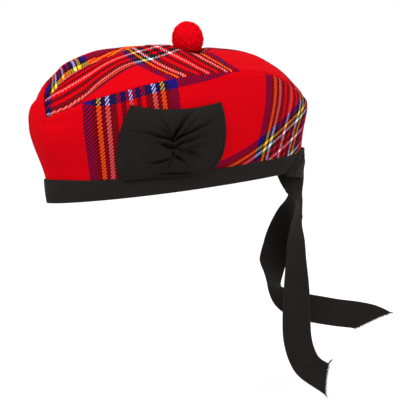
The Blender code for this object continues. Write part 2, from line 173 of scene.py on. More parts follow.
def rim_plan(angle):
    """The near half of the rim in plan, at angles round it from the front."""
    ahead = np.cos(angle) > 0
    length = np.where(ahead, RIM_FRONT, RIM_BACK)
    taper = np.where(ahead, RIM_TAPER_FRONT, RIM_TAPER_BACK)
    aside = np.maximum(np.sin(angle), 0.0) ** taper
    return np.stack([-length * np.cos(angle), -RIM_HALF_WIDTH * aside, np.zeros_like(angle)], -1)


def rim_out(angle):
    """The level direction out of the rim."""
    step = math.radians(0.5)
    inner = np.clip(angle, step, math.pi - step)
    along = rim_plan(inner + step) - rim_plan(inner - step)
    out = unit(np.stack([along[..., 1], -along[..., 0], np.zeros_like(inner)], -1))
    tip = np.stack([-np.sign(np.cos(angle)), np.zeros_like(angle), np.zeros_like(angle)], -1)
    return np.where(((angle < step) | (angle > math.pi - step))[..., None], tip, out)


def top_point(share, across, corner=1.0):
    """On the top panel: across is 0 at the near seam, 1 on the ridge and 2 at the far seam.

    The near front corner is drawn ahead and down; corner is 0 on the far wall, which has none.
    """
    share, across = np.broadcast_arrays(np.asarray(share, float), np.asarray(across, float))
    seam_x, seam_y, seam_z, rise = row_at(CROWN_ROWS, share)[:4]
    x = seam_x * np.where(seam_x < 0, SEAM_FRONT, SEAM_BACK)
    seam = np.stack([x, -np.maximum(seam_y, 0.0) * SEAM_HALF_WIDTH, seam_z * SEAM_HEIGHT], -1)
    side = 1 - across
    at_seam = math.hypot(1.0, RIDGE_ROUNDING)
    roof = (at_seam - np.hypot(side, RIDGE_ROUNDING)) / (at_seam - RIDGE_ROUNDING)
    setback = PROW_SETBACK * (1 - share) ** 3 * roof**3
    drawn = corner * within(1 - share / CORNER_REACH) ** 2 * within(side)
    point = seam + np.stack([setback - CORNER_AHEAD * drawn, 0 * roof,
                             np.maximum(rise, 0.0) * RIDGE_RISE * roof - CORNER_LOWER * drawn], -1)
    point[..., 1] = seam[..., 1] * side
    near = (((point[..., 0] - TOORIE_ALONG) / SEAT_HALF_LENGTH) ** 2
            + ((point[..., 1] + SEAT_NEARER) / SEAT_HALF_WIDTH) ** 2)
    point[..., 2] -= SEAT_DEPTH * np.maximum(1 - near, 0.0) ** 2
    return point


def stations():
    """The table's last five columns at every station, from the front centre to the back."""
    prow = np.arange(PROW_STATIONS) / PROW_STATIONS
    corner, front = row_at(CROWN_ROWS, 0.0)[4:, None], np.array(PROW_ROW)[:, None]
    crown = row_at(CROWN_ROWS, steps(ALONG_STATIONS))[4:]
    return np.concatenate([front + (corner - front) * prow, crown], 1)


def wall_grid(drawn):
    """The near wall's outer face, from the front centre to the back and from the rim up to the seam."""
    prow = np.arange(PROW_STATIONS) / PROW_STATIONS
    upper = np.concatenate([top_point(0.0, 1 - prow, drawn), top_point(steps(ALONG_STATIONS), 0.0, drawn)])
    angle, bulge, peak, lean, band = stations()
    angle, band_top = np.radians(angle), BAND_HEIGHT * band
    out, plan = rim_out(angle), rim_plan(angle)
    leaning = out * (lean * BACK_LEAN)[:, None]
    rows = []
    for k in range(BEHIND_BAND_ROWS):
        up = BAND_TAPE + GAP + (band_top - BAND_TAPE) * k / BEHIND_BAND_ROWS
        rows.append(plan + leaning * (up / band_top)[:, None] + up[:, None] * UP)
    shoulder = plan + leaning + (band_top + GAP)[:, None] * UP
    skew = math.log(0.5) / np.log(peak)
    for t in steps(WALL_ROWS):
        hump = np.maximum(np.sin(math.pi * t**skew), 0.0) ** BULGE_FULLNESS
        rows.append(shoulder + (upper - shoulder) * t + out * (bulge * BULGE * hump)[:, None])
    return np.stack(rows, 1)


def outward(grid):
    """Unit normals of a grid whose rows * columns face outwards."""
    normals = np.cross(np.gradient(grid, axis=0), np.gradient(grid, axis=1))
    short = np.linalg.norm(normals, axis=-1) < 1e-12
    for i in np.argwhere(short.all(1)).ravel():
        normals[i] = normals[i - 1 if i else 1]
    return unit(normals)


def climb(grid, axis):
    """Lengths in mm from the grid's first row or column."""
    steps = np.linalg.norm(np.diff(grid, axis=axis), axis=-1) / MM
    start = np.zeros_like(np.take(steps, [0], axis))
    return np.cumsum(np.concatenate([start, steps], axis), axis)


def smooth_through(knots, values, at):
    """A curve through the values at the knots that bends as little as it can."""
    knots, values = np.array(knots, float), np.array(values, float)
    count, gap = len(knots), np.diff(knots)
    system, wanted = np.eye(count), np.zeros(count)
    for k in range(1, count - 1):
        system[k, k - 1:k + 2] = gap[k - 1], 2 * (gap[k - 1] + gap[k]), gap[k]
        wanted[k] = 6 * ((values[k + 1] - values[k]) / gap[k] - (values[k] - values[k - 1]) / gap[k - 1])
    bend = np.linalg.solve(system, wanted)
    k = np.clip(np.searchsorted(knots, at) - 1, 0, count - 2)
    after, before = at - knots[k], knots[k + 1] - at
    return ((bend[k] * before**3 + bend[k + 1] * after**3) / (6 * gap[k])
            + (values[k] / gap[k] - bend[k] * gap[k] / 6) * before
            + (values[k + 1] / gap[k] - bend[k + 1] * gap[k] / 6) * after)


def waves(grid, size, seed):
    """Soft uneven hills, about -1 to 1, of a size in mm."""
    spots = grid.reshape(-1, 3) / (size * MM)
    heights = [noise.noise(Vector((x + seed, y, z))) for x, y, z in spots]
    return np.array(heights).reshape(grid.shape[:-1])


def swells(grid, kinds):
    return sum(height * waves(grid, size, seed) for height, size, seed in kinds)


def seam_edge(away):
    """Relief in mm at a distance in mm from a seam: the turned edge rolls in, the cloth puffs behind it."""
    turn = within(1 - away / EDGE_REACH)
    roll = -EDGE_ROLL * (1 - np.sqrt(np.maximum(1 - turn**2, 0.0)))
    return roll + EDGE_PUFF * hill(away - PUFF_AT * EDGE_REACH, PUFF_WIDTH * EDGE_REACH)


def shown(name, data):
    """A new object in the scene."""
    made = bpy.data.objects.new(name, data)
    bpy.context.scene.collection.objects.link(made)
    return made


def piece(name, points, faces, skin, cloth_at):
    """A smooth object; cloth_at gives the UV of each face corner from its point's number."""
    mesh = bpy.data.meshes.new(name)
    mesh.from_pydata(points.tolist(), [], faces.tolist())
    mesh.materials.append(skin)
    mesh.shade_smooth()
    corners = np.empty(len(mesh.loops), np.int32)
    mesh.loops.foreach_get("vertex_index", corners)
    layer = mesh.uv_layers.new(name="cloth")
    layer.data.foreach_set("uv", cloth_at(corners).astype(np.float32).ravel())
    return shown(name, mesh)


def slab(name, outer, inner, skin, cloth, left_out=None):
    """A closed piece between two grids; rows * columns face out of the outer one. cloth: each point's UV."""
    rows, columns = outer.shape[:2]
    count = rows * columns
    at = np.arange(count).reshape(rows, columns)
    quads = np.stack([at[:-1, :-1], at[1:, :-1], at[1:, 1:], at[:-1, 1:]], -1).reshape(-1, 4)
    if left_out is not None:
        quads = quads[~left_out.ravel()]
    sides = np.stack([quads, np.roll(quads, -1, 1)], -1).reshape(-1, 2)
    shared = np.isin(sides[:, 0] * count + sides[:, 1], sides[:, 1] * count + sides[:, 0])
    start, end = sides[~shared].T
    edge = np.stack([end, start, start + count, end + count], -1)
    faces = np.concatenate([quads, quads[:, ::-1] + count, edge])
    used, faces_of_used = np.unique(faces.ravel(), return_inverse=True)
    points = np.concatenate([outer.reshape(-1, 3), inner.reshape(-1, 3)])[used]
    uv = cloth.reshape(-1, 2)[used % count]
    return piece(name, points, faces_of_used.reshape(-1, 4), skin, lambda corners: uv[corners])


def close_up(made):
    """Joins points that meet, as at the back tip, and points all faces outwards."""
    work = bmesh.new()
    work.from_mesh(made.data)
    bmesh.ops.remove_doubles(work, verts=work.verts, dist=2e-5)
    bmesh.ops.dissolve_degenerate(work, edges=work.edges, dist=1e-6)
    bmesh.ops.recalc_face_normals(work, faces=work.faces)
    work.to_mesh(made.data)
    work.free()


# The sett from its white line outwards, in yarns of each colour; it mirrors at both ends
YARN = 0.766
SETT = (
    (2, "white"), (4, "red"), (6, "black"), (5, "red"), (8, "green"), (5, "white"),
    (5, "black"), (5, "yellow"), (5, "black"), (10, "blue"), (57, "red"),
)
YARN_COLOURS = {
    "red": (0.390, 0.0005, 0.0032, 1.0),
    "white": (0.66, 0.58, 0.74, 1.0),
    "black": (0.006, 0.003, 0.006, 1.0),
    "green": (0.004, 0.007, 0.006, 1.0),
    "yellow": (0.70, 0.42, 0.010, 1.0),
    "blue": (0.009, 0.004, 0.100, 1.0),
}
HALF_SETT = sum(yarns for yarns, colour in SETT)
REPEAT = 2 * HALF_SETT * YARN
# On the near wall: painted shade where two colours cross, how deep in each channel (green and blue most where
# red lies under them), and how much of a pale line it takes away
NEAR_WALL_CROSSING_SHADE = ((1.0, 2.1, 2.8), 0.68)
# Powers that turn a brightness into a tone as the eye sees it, and back
TO_TONE = 0.4545
FROM_TONE = 2.2
# The surface: roughness, shine, sheen and the sheen's tint; the sizes in metres over which yarns
# wander and of fuzz and clouds, and the depth of the relief
WOOL_SURFACE = (0.90, 0.012, 0.01, (1.0, 0.10, 0.15, 1.0))
DRIFT_SIZE = 0.004
FUZZ_SIZE = 0.0005
CLOUD_SIZE = 0.030
WEAVE_DEPTH = 0.00016
# How much height, fuzz and clouds lighten it, each with the shade it starts from; the height's share is
# painted shade between the yarns
HEIGHT_PAINTED_SHADE = (0.36, 0.76)
FUZZ_SHADE = (0.24, 0.88)
CLOUD_SHADE = (0.10, 0.95)
# The weave repeats over this many yarns
TWILL_REPEAT = 4.0


def feed(tree, socket, value):
    """Gives a socket another one's result, or a constant."""
    if isinstance(value, bpy.types.NodeSocket):
        tree.links.new(value, socket)
    else:
        socket.default_value = value


def add(tree, kind, inputs=(), **settings):
    """A new node with its settings, and with its inputs fed by name or number."""
    made = tree.nodes.new(kind)
    for label, value in settings.items():
        setattr(made, label, value)
    for label, value in dict(inputs).items():
        feed(tree, made.inputs[label], value)
    return made


def calc(tree, operation, *values):
    """A Math node's result; each value is a socket or a number."""
    return add(tree, "ShaderNodeMath", enumerate(values), operation=operation).outputs[0]


def maths(tree):
    """Makers of the Math nodes used most: a product, a sum, and a product with something added."""
    return [lambda *values, kind=kind: calc(tree, kind, *values)
            for kind in ("MULTIPLY", "ADD", "MULTIPLY_ADD")]


def mix_colour(tree, factor, first, second):
    return add(tree, "ShaderNodeMix", {0: factor, 6: first, 7: second}, data_type="RGBA").outputs[2]


def speckle(tree, place, size, detail=2.0, rough=0.5):
    """Noise of a size in metres over a place, 0 to 1."""
    return add(tree, "ShaderNodeTexNoise", {
        "Vector": place, "Scale": 1.0 / size, "Detail": detail, "Roughness": rough}).outputs["Fac"]


def cloth_shader(name, roughness, specular, sheen, sheen_tint):
    """A material, its tree, its shader and the place on the piece."""
    made = bpy.data.materials.new(name)
    made.use_nodes = True
    tree = made.node_tree
    shader = tree.nodes["Principled BSDF"]
    for label, value in (("Roughness", roughness), ("Specular IOR Level", specular), ("Sheen Weight", sheen),
                         ("Sheen Roughness", 0.5), ("Sheen Tint", sheen_tint)):
        shader.inputs[label].default_value = value
    return made, tree, shader, tree.nodes.new("ShaderNodeTexCoord").outputs["Object"]


def cloth_place(tree):
    """How far along and across the cloth a place is, from its UV map."""
    layer = add(tree, "ShaderNodeUVMap", uv_map="cloth")
    return add(tree, "ShaderNodeSeparateXYZ", {0: layer.outputs["UV"]}).outputs


def shade_colour(tree, colour, shade, shader):
    scaled = add(tree, "ShaderNodeVectorMath", {0: colour, "Scale": shade}, operation="SCALE")
    tree.links.new(scaled.outputs[0], shader.inputs["Base Color"])


def bump(tree, height, distance, strength, shader):
    made = add(tree, "ShaderNodeBump", {"Distance": distance, "Strength": strength, "Height": height})
    tree.links.new(made.outputs["Normal"], shader.inputs["Normal"])


def channels(tree, colour):
    return add(tree, "ShaderNodeSeparateColor", {0: colour}).outputs


def tartan(name, crossing_shade_depth, pale_crossing_shade):
    """Milled wool woven two over, two under, with the same sett in warp and weft."""
    made, tree, shader, on_piece = cloth_shader(name, *WOOL_SURFACE)
    times, plus, scaled = maths(tree)
    uv = cloth_place(tree)
    # Yarns wander by up to a quarter of their width
    drift = scaled(speckle(tree, on_piece, DRIFT_SIZE), 0.5, -0.25)
    yarns = []
    for axis, way in ((0, 1.0), (1, -1.0)):
        placed = plus(times(uv[axis], 2.0 * HALF_SETT), times(drift, way))
        index = calc(tree, "FLOOR", placed)
        share = calc(tree, "PINGPONG", plus(index, 0.5), HALF_SETT)
        dyed = add(tree, "ShaderNodeValToRGB", {"Fac": calc(tree, "DIVIDE", share, HALF_SETT)})
        ramp = dyed.color_ramp
        ramp.interpolation = "CONSTANT"
        passed = 0
        for k, (count, colour) in enumerate(SETT):
            stop = ramp.elements[0] if k == 0 else ramp.elements.new(passed / HALF_SETT)
            stop.position = passed / HALF_SETT
            stop.color = YARN_COLOURS[colour]
            passed += count
        while len(ramp.elements) > len(SETT):
            ramp.elements.remove(ramp.elements[-1])
        yarns.append((index, calc(tree, "FRACT", placed), dyed.outputs["Color"]))
    (warp, warp_across, warp_colour), (weft, weft_across, weft_colour) = yarns
    step = calc(tree, "FLOORED_MODULO", calc(tree, "SUBTRACT", warp, weft), TWILL_REPEAT)
    warp_up = calc(tree, "LESS_THAN", step, 1.5)
    woven = mix_colour(tree, warp_up, weft_colour, warp_colour)

    # Where two colours cross, both are darkened with painted shade between the floats;
    # green and blue darken most where red lies under them
    hidden = mix_colour(tree, warp_up, warp_colour, weft_colour)
    red_behind = calc(tree, "DIVIDE", channels(tree, hidden)[0], YARN_COLOURS["red"][0])
    red_behind = calc(tree, "MINIMUM", red_behind, 1.0)
    contrast = calc(tree, "SUBTRACT", channels(tree, warp_colour)[1], channels(tree, weft_colour)[1])
    contrast = times(calc(tree, "ABSOLUTE", contrast), scaled(red_behind, 0.5, 0.5))
    # Painted shade: a pale line loses this much where it crosses another colour
    crossing_painted_shade = scaled(contrast, -pale_crossing_shade, 1.0)
    toned = tree.nodes.new("ShaderNodeCombineColor")
    for k, depth in enumerate(crossing_shade_depth):
        one, other, seen = (channels(tree, colour)[k] for colour in (warp_colour, weft_colour, woven))
        plain = times(plus(one, other), 0.5)
        shaded_mix = plus(calc(tree, "POWER", one, TO_TONE), calc(tree, "POWER", other, TO_TONE))
        shaded_mix = calc(tree, "POWER", times(shaded_mix, 0.5), FROM_TONE)
        power = scaled(red_behind, depth - 1.0, 1.0)
        share = calc(tree, "POWER", calc(tree, "DIVIDE", shaded_mix, plain), power)
        feed(tree, toned.inputs[k], times(times(seen, share), crossing_painted_shade))

    def float_height(across, along):
        """Each yarn is round, and bends down at both ends of where it lies on top."""
        ridge = calc(tree, "MAXIMUM", calc(tree, "SINE", times(across, math.pi)), 0.0)
        arch = calc(tree, "MAXIMUM", calc(tree, "SINE", times(times(along, 0.5), math.pi)), 0.0)
        return times(calc(tree, "POWER", ridge, 0.5), scaled(arch, 0.7, 0.3))

    warp_along = plus(calc(tree, "SUBTRACT", 1.0, step), weft_across)
    weft_along = plus(calc(tree, "SUBTRACT", step, 2.0), warp_across)
    height = add(tree, "ShaderNodeMix", {
        0: warp_up, 2: float_height(weft_across, weft_along), 3: float_height(warp_across, warp_along),
    }).outputs[0]
    # Painted shade between the yarns, darker where they dip, with fine fuzz and faint clouds
    fuzz = speckle(tree, on_piece, FUZZ_SIZE, 3.0, 0.7)
    clouds = speckle(tree, on_piece, CLOUD_SIZE)
    shade = scaled(height, *HEIGHT_PAINTED_SHADE)
    for value, lighter in ((fuzz, FUZZ_SHADE), (clouds, CLOUD_SHADE)):
        shade = times(shade, scaled(value, *lighter))
    shade_colour(tree, toned.outputs[0], shade, shader)
    bump(tree, scaled(fuzz, 0.5, height), WEAVE_DEPTH, 0.8, shader)
    return made


# How the cloth lies on the near wall, fitted so that its stripes fall where the real ones do.
# Each column is a place along the wall in mm: how far the sett is shifted along and up it, how much
# that grows with height, and how much it curves.
SIDE_KNOTS = (0, 30, 60, 120, 170, 215, 255, 305)
SIDE_ALONG = (9.1, 4.6, 1.0, 0.4, 1.8, 5.3, 13.9, 18.7)
SIDE_ALONG_PER_UP = (-0.033, -0.032, -0.031, -0.036, -0.123, -0.249, -0.449, -0.654)
SIDE_ALONG_CURVE = (-0.5, 0.0, 0.5, 1.6, 2.1, 2.9, 0.2, -3.2)
SIDE_UP = (2.0, 8.0, 24.0, 21.2, 11.2, -5.8, -32.2, -60.0)
SIDE_UP_PER_UP = (-0.154, -0.080, -0.032, 0.092, 0.225, 0.370, 0.466, 0.511)
SIDE_UP_CURVE = (-3.7, -4.2, -4.8, -5.8, -6.5, -6.5, -6.8, -6.8)
SIDE_MIDDLE = 45.0
SIDE_WARP_LINE = 106.0
SIDE_WEFT_LINE = 148.0
SIDE_MEASURED_AT = 0.45
# The soft brow across the front and the hollow under it, in mm: the hollow's height above the rim and
# the brow's above that, their widths, how proud they are, and where along the wall they end and how
# gently; then how strong they are on the prow, and between what shares of it they grow
BROW_HOLLOW_HEIGHT = 71.0
BROW_ABOVE = 7.5
BROW_WIDTH = 5.0
BROW_HOLLOW_WIDTH = 3.6
BROW_RISE = 0.9
BROW_REACH = (62.0, 26.0)
BROW_ON_PROW = 0.15
BROW_GROWS = (0.35, 0.85)
# The prow is hollow just below the seam, in mm: how deep, and how far down
PROW_HOLLOW = (3.0, 27.0)
# In mm from the ends, the band and the seam, where the swells reach their full height
SWELLS_FROM_END = 14.0
SWELLS_FROM_BAND = 12.0
SWELLS_FROM_SEAM = 6.0
# Soft swells and puckers in the cloth: their height and size in mm, and a seed for where they are
WALL_SWELLS = ((0.9, 48.0, 3.0), (0.35, 19.0, 11.0))
WALL_PUCKERS = ((0.35, 6.0, 23.0),)

tartan_wool = tartan("tartan_wool", *NEAR_WALL_CROSSING_SHADE)
wall = wall_grid(1.0)
along_wall = climb(wall, 0)[:, BEHIND_BAND_ROWS + int(SIDE_MEASURED_AT * WALL_ROWS), None]
up_wall = climb(wall, 1)
over_middle = up_wall - SIDE_MIDDLE


def fitted(start, line, shift, per_up, curve):
    """Places in the sett on the near wall, in mm, from places along or up it."""
    by = [smooth_through(SIDE_KNOTS, values, along_wall) for values in (shift, per_up, curve)]
    return start + by[0] + by[1] * over_middle + by[2] * (over_middle / SIDE_MIDDLE) ** 2 - line


side_cloth = np.stack([
    fitted(along_wall, SIDE_WARP_LINE, SIDE_ALONG, SIDE_ALONG_PER_UP, SIDE_ALONG_CURVE),
    fitted(up_wall, SIDE_WEFT_LINE, SIDE_UP, SIDE_UP_PER_UP, SIDE_UP_CURVE),
], -1) / REPEAT

prow_share = within(np.arange(len(wall)) / PROW_STATIONS)[:, None]
to_end = np.minimum(along_wall, along_wall[-1] - along_wall)
band_line = wall[:, BEHIND_BAND_ROWS:BEHIND_BAND_ROWS + 1, 2] / MM


def wall_relief(grid, to_edge):
    """The panel's relief in mm: its edge rolls in, it swells unevenly, and a soft brow crosses its front."""
    ends = within(to_end / SWELLS_FROM_END)
    above_band = grid[..., 2] / MM - band_line
    free = within(above_band / SWELLS_FROM_BAND) * within(to_edge / SWELLS_FROM_SEAM) * ends
    above_hollow = grid[..., 2] / MM - BROW_HOLLOW_HEIGHT
    brow = within((BROW_REACH[0] - along_wall) / BROW_REACH[1])
    grown_up = within((prow_share - BROW_GROWS[0]) / (BROW_GROWS[1] - BROW_GROWS[0]))
    brow = brow * (BROW_ON_PROW + (1 - BROW_ON_PROW) * grown_up)
    relief = (seam_edge(to_edge)
              + free * swells(grid, WALL_SWELLS)
              + np.exp(-to_edge / PUCKER_REACH) * ends * swells(grid, WALL_PUCKERS)
              - PROW_HOLLOW[0] * np.sin(np.pi * within(to_edge / PROW_HOLLOW[1])) * (1 - prow_share)
              + brow * BROW_RISE * (hill(above_hollow - BROW_ABOVE, BROW_WIDTH)
                                    - hill(above_hollow, BROW_HOLLOW_WIDTH)))
    relief[:, :BEHIND_BAND_ROWS] = 0.0
    return relief


wall_normals = outward(wall)
wall_normals[:, :BEHIND_BAND_ROWS] = rim_out(np.radians(stations()[0]))[:, None]
wall_outer = wall + wall_normals * wall_relief(wall, up_wall[:, -1:] - up_wall)[..., None] * MM
wall_inner = wall_outer - wall_normals * WOOL
for grid in (wall_outer, wall_inner):
    grid[..., 1] = np.minimum(grid[..., 1], -SHORT_OF_MIDDLE)
side_left = slab("side_left_cloth", wall_outer, wall_inner, tartan_wool, side_cloth)
close_up(side_left)
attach(side_left, "root")
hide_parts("side_left")


# ---- Far side panel
# The other wool panel, a mirror of the near one. At the front it lies over the edge of the crown, so
# that its seam to the top panel is on the near side of the ridge there.

# Places along the ridge in mm, and how far the seam is past the ridge at each
FAR_SEAM_AT = (0, 6, 12, 22, 34, 46, 56, 64, 72, 84, 97, 112, 130, 150, 168, 290)
FAR_SEAM_PAST = (-21, -22, -19.5, -20, -21, -21, -20, -17, -12, -6, 1, 14, 33, 53, 66, 70)
TURNED_ROWS = 40
TURN_SMOOTHING = 5
TURN_PASSES = 14
RIDGE_STEPS = np.linspace(0.0, 2.0, 121)
RIDGE_MIDDLE = 60
FLIP = np.array([1.0, -1.0, 1.0])
# This panel and the top panel get much less painted shade where colours cross
OTHER_PANELS_CROSSING_SHADE = ((1.0, 1.8, 2.5), 0.06)
# How the sett lies on it, in mm: which line along the cloth is at which place along the ridge; how
# dense the lines across it are, and the first of them at the seam; how the wall's own lines are
# spread and where they take over; and the same for the prow
FAR_ALONG_AT = (0, 2, 6, 8, 11, 15.5, 23, 28, 31, 34, 37, 40, 78, 290)
FAR_ALONG = (-43, -38, -28, -22, -15, 0, 15, 21.5, 29, 31.8, 36.5, 44, 50, 332)
FAR_DENSITY = 0.92
FAR_FIRST = (26.5, 7.0, 7.0)
FAR_WALL_LINE = 20.0
FAR_WALL_DENSITY = 1.12
FAR_FAN = (-5.0, 40.0)
FAR_PROW_PAST = 39.0
FAR_PROW_ALONG = -24.0
FAR_PROW_FIRST = 25.0


def across_ridge(shares):
    """At rows of the top panel: the arc from the ridge at RIDGE_STEPS, and the place along the ridge."""
    rows = top_point(np.asarray(shares)[:, None], RIDGE_STEPS[None, :])
    arc, ridge = climb(rows, 1), climb(rows, 0)[:, RIDGE_MIDDLE]
    return arc - arc[:, RIDGE_MIDDLE:RIDGE_MIDDLE + 1], ridge


def far_seam(arc, ridge):
    """Where across the top panel the far seam is, row by row."""
    past = smooth_through(FAR_SEAM_AT, FAR_SEAM_PAST, ridge)
    return np.array([np.interp(value, line, RIDGE_STEPS) for value, line in zip(past, arc)])


tartan_less_shaded = tartan("tartan_wool_less_shaded", *OTHER_PANELS_CROSSING_SHADE)
along_shares = steps(ALONG_STATIONS)
arc, ridge = across_ridge(along_shares)
seam_across = far_seam(arc, ridge)[:, None]
turned = top_point(along_shares[:, None], 2 + (seam_across - 2) * steps(TURNED_ROWS)[1:])
far_wall = (wall_grid(0.0) * FLIP)[:, ::-1]
prow_top = np.repeat(far_wall[:PROW_STATIONS, :1], TURNED_ROWS, 1)
far_grid = np.concatenate([np.concatenate([prow_top, turned[:, ::-1]]), far_wall], 1)
behind_prow = slice(PROW_STATIONS + 2, -1)
first, last = TURNED_ROWS - TURN_SMOOTHING, TURNED_ROWS + TURN_SMOOTHING + 1
for _ in range(TURN_PASSES):
    eased = far_grid.copy()
    eased[behind_prow, first:last] = (far_grid[behind_prow, first - 1:last - 1]
                                      + far_grid[behind_prow, first + 1:last + 1]) / 2
    far_grid = eased

down_far = climb(far_grid, 1)
prow = np.arange(PROW_STATIONS)[:, None] / PROW_STATIONS
seam_past = np.interp(ridge, FAR_SEAM_AT, FAR_SEAM_PAST)[:, None]
place = np.concatenate([FAR_PROW_PAST * prow, seam_past]) + down_far
along_far = np.concatenate([FAR_PROW_ALONG * (1 - prow), ridge[:, None]])
squeezed = np.interp(along_far, FAR_ALONG_AT, FAR_ALONG)
natural = (along_far - FAR_WALL_LINE) * FAR_WALL_DENSITY
fan = soft_step((place - FAR_FAN[0]) / (FAR_FAN[1] - FAR_FAN[0]))
from_first = np.concatenate([place[:PROW_STATIONS] + FAR_PROW_FIRST, down_far[PROW_STATIONS:]])
first_line = FAR_FIRST[0] + FAR_FIRST[1] * within(1 - np.maximum(along_far, 0.0) / FAR_FIRST[2])
far_cloth = np.stack([squeezed + (natural - squeezed) * fan, first_line + FAR_DENSITY * from_first], -1)

mirrored = (wall_normals * FLIP)[:, ::-1]
far_normals = outward(far_grid)
far_normals[:PROW_STATIONS + 1, TURNED_ROWS:] = mirrored[:PROW_STATIONS + 1]
far_normals[:, -BEHIND_BAND_ROWS:] = mirrored[:, -BEHIND_BAND_ROWS:]
far_relief = wall_relief(far_grid[:, ::-1], down_far[:, ::-1])[:, ::-1]
far_outer = far_grid + far_normals * far_relief[..., None] * MM
far_inner = far_outer - far_normals * WOOL
for grid in (far_outer[:, TURNED_ROWS:], far_inner[:, TURNED_ROWS:]):
    grid[..., 1] = np.maximum(grid[..., 1], SHORT_OF_MIDDLE)
no_turn = np.zeros((len(far_grid) - 1, far_grid.shape[1] - 1), bool)
no_turn[:PROW_STATIONS, :TURNED_ROWS] = True
side_right = slab("side_right_cloth", far_outer, far_inner, tartan_less_shaded, far_cloth / REPEAT, no_turn)
close_up(side_right)
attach(side_right, "root")
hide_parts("side_right")


# ---- Top panel
# One panel of the same tartan, creased lengthwise so that it rises from both seams to a ridge. It
# sinks between the sides at its front edge, and the toorie's stitches draw it down in one place.
TOP_KNOTS = (0, 20, 40, 60, 80, 105, 135, 175, 220, 275)
TOP_ALONG = (-136.5, -132.7, -123.4, -113.6, -106.9, -103.2, -104.6, -107.7, -107.5, -107.9)
TOP_ALONG_PER_ACROSS = (-0.09, 0.01, 0.09, 0.16, 0.22, 0.25, 0.26, 0.23, 0.19, 0.15)
TOP_ALONG_CURVE = (2.1, -2.1, -5.3, -7.7, -9.7, -8.3, -8.2, -2.9, 2.7, 7.9)
TOP_SPREAD = ((-25.0, 3.6), (26.0, -2.4))
TOP_SPREAD_REACH = 12.0
TOP_CURVE_FROM = 50.0
# Where across the ridge the edge of the near purple, the near white, the middle white and the far
# white of one lengthwise set lie, in mm, at places along the ridge
SET_LINES = (-42.0, -21.5, 0.0, 21.5)
SET_AT = (0, 10, 20, 30, 40, 50, 60, 72, 90, 108, 135, 175, 220, 275)
SET_PURPLE = (
    -42.0, -48.5, -54.0, -54.8, -53.1, -50.2, -46.3, -41.4, -37.2, -32.3, -17.5, -14.0, -2.0, 11.0,
)
SET_NEAR_WHITE = (
    -38.5, -46.5, -52.2, -52.3, -48.3, -45.1, -40.6, -36.6, -34.9, -30.3, -14.5, 0.5, 15.5, 28.6,
)
SET_MIDDLE = (
    -23.5, -27.3, -31.8, -32.9, -32.2, -29.8, -26.9, -22.8, -17.0, -10.0, 7.8, 20.3, 34.0, 47.0,
)
SET_FAR_WHITE = (
    -16.0, -19.0, -21.0, -21.3, -21.2, -21.2, -18.5, -13.0, -3.0, 8.0, 26.2, 39.0, 52.5, 65.0,
)
# Past the outer two the sett runs on, a little denser
SET_BEYOND = 100.0
SET_BEYOND_DENSITY = 1.15
TOP_ROWS = 180
TOP_COLUMNS = 84
TOP_SWELLS = ((0.7, 40.0, 31.0), (0.3, 16.0, 37.0))
TOP_PUCKERS = ((0.3, 6.0, 41.0),)
TOP_SWELLS_FROM_EDGE = 8.0
# How deep in mm the front edge is drawn in, and over what length
TOP_FRONT_TUCK = (1.2, 3.0)

top_shares = steps(TOP_ROWS)
arc, along_ridge = across_ridge(top_shares)
across = far_seam(arc, along_ridge)[:, None] * steps(TOP_COLUMNS)
top = top_point(top_shares[:, None], across)
from_ridge = np.array([np.interp(places, RIDGE_STEPS, line) for places, line in zip(across, arc)])


def by_ridge(values, knots=TOP_KNOTS):
    return smooth_through(knots, values, along_ridge)[:, None]


set_places = [by_ridge(values, SET_AT) for values in (SET_PURPLE, SET_NEAR_WHITE, SET_MIDDLE, SET_FAR_WHITE)]
set_places = np.concatenate([set_places[0] - SET_BEYOND, *set_places, set_places[-1] + SET_BEYOND], 1)
past = SET_BEYOND_DENSITY * SET_BEYOND
set_values = (SET_LINES[0] - past, *SET_LINES, SET_LINES[-1] + past)
top_across = np.array([np.interp(line, places, set_values) for line, places in zip(from_ridge, set_places)])
top_along = (along_ridge[:, None] + by_ridge(TOP_ALONG) + by_ridge(TOP_ALONG_PER_ACROSS) * from_ridge
             + by_ridge(TOP_ALONG_CURVE) * np.minimum(from_ridge / TOP_CURVE_FROM, 0.0) ** 2)
for centre, shift in TOP_SPREAD:
    top_along = top_along + shift * hill(top_along - centre, TOP_SPREAD_REACH)
top_cloth = np.stack([top_along, top_across], -1) / REPEAT

across_top, from_front = climb(top, 1), climb(top, 0)
from_seam = np.minimum(across_top, across_top[:, -1:] - across_top)
top_relief = (seam_edge(from_seam)
              - TOP_FRONT_TUCK[0] * hill(from_front, TOP_FRONT_TUCK[1])
              + within(np.minimum(from_seam, from_front) / TOP_SWELLS_FROM_EDGE) * swells(top, TOP_SWELLS)
              + np.exp(-from_seam / PUCKER_REACH) * swells(top, TOP_PUCKERS))
top_normals = outward(top)
top_outer = top + top_normals * top_relief[..., None] * MM
top_inner = top_outer - top_normals * WOOL
top_panel = slab("top_panel_cloth", top_outer, top_inner, tartan_less_shaded, top_cloth)
close_up(top_panel)
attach(top_panel, "root")
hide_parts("top_panel")


# ---- Headband
# Black woven tape folded in half over the raw rim and sewn down through all layers just below its
# upper edge. It lies close to the head, so it stays nearly flat, with slightly uneven edges.
BAND_INSIDE_HEIGHT = 0.0135
BAND_STEPS = 420
BAND_ROWS = 12
BAND_SWELL = 0.00035
# The upper edge rises and falls in slow and in quick waves: how far, how often, and a seed for where
BAND_RIPPLES = ((0.0004, 12, 5.0), (0.00015, 45, 9.0))
EDGE_ROUND = 0.0002
TAPE_COLOUR = (0.0089, 0.0070, 0.0067)
TAPE_RIB = 0.00075
# Its surface in the same form as the wool's, and the sizes in metres over which ribs wander and of
# fuzz and dust
TAPE_SURFACE = (0.75, 0.04, 0.01, (0.75, 0.72, 0.74, 1.0))
RIB_DRIFT_SIZE = 0.006
TAPE_FUZZ_SIZE = 0.0007
DUST_SIZE = 0.022
TAPE_DEPTH = 0.00012
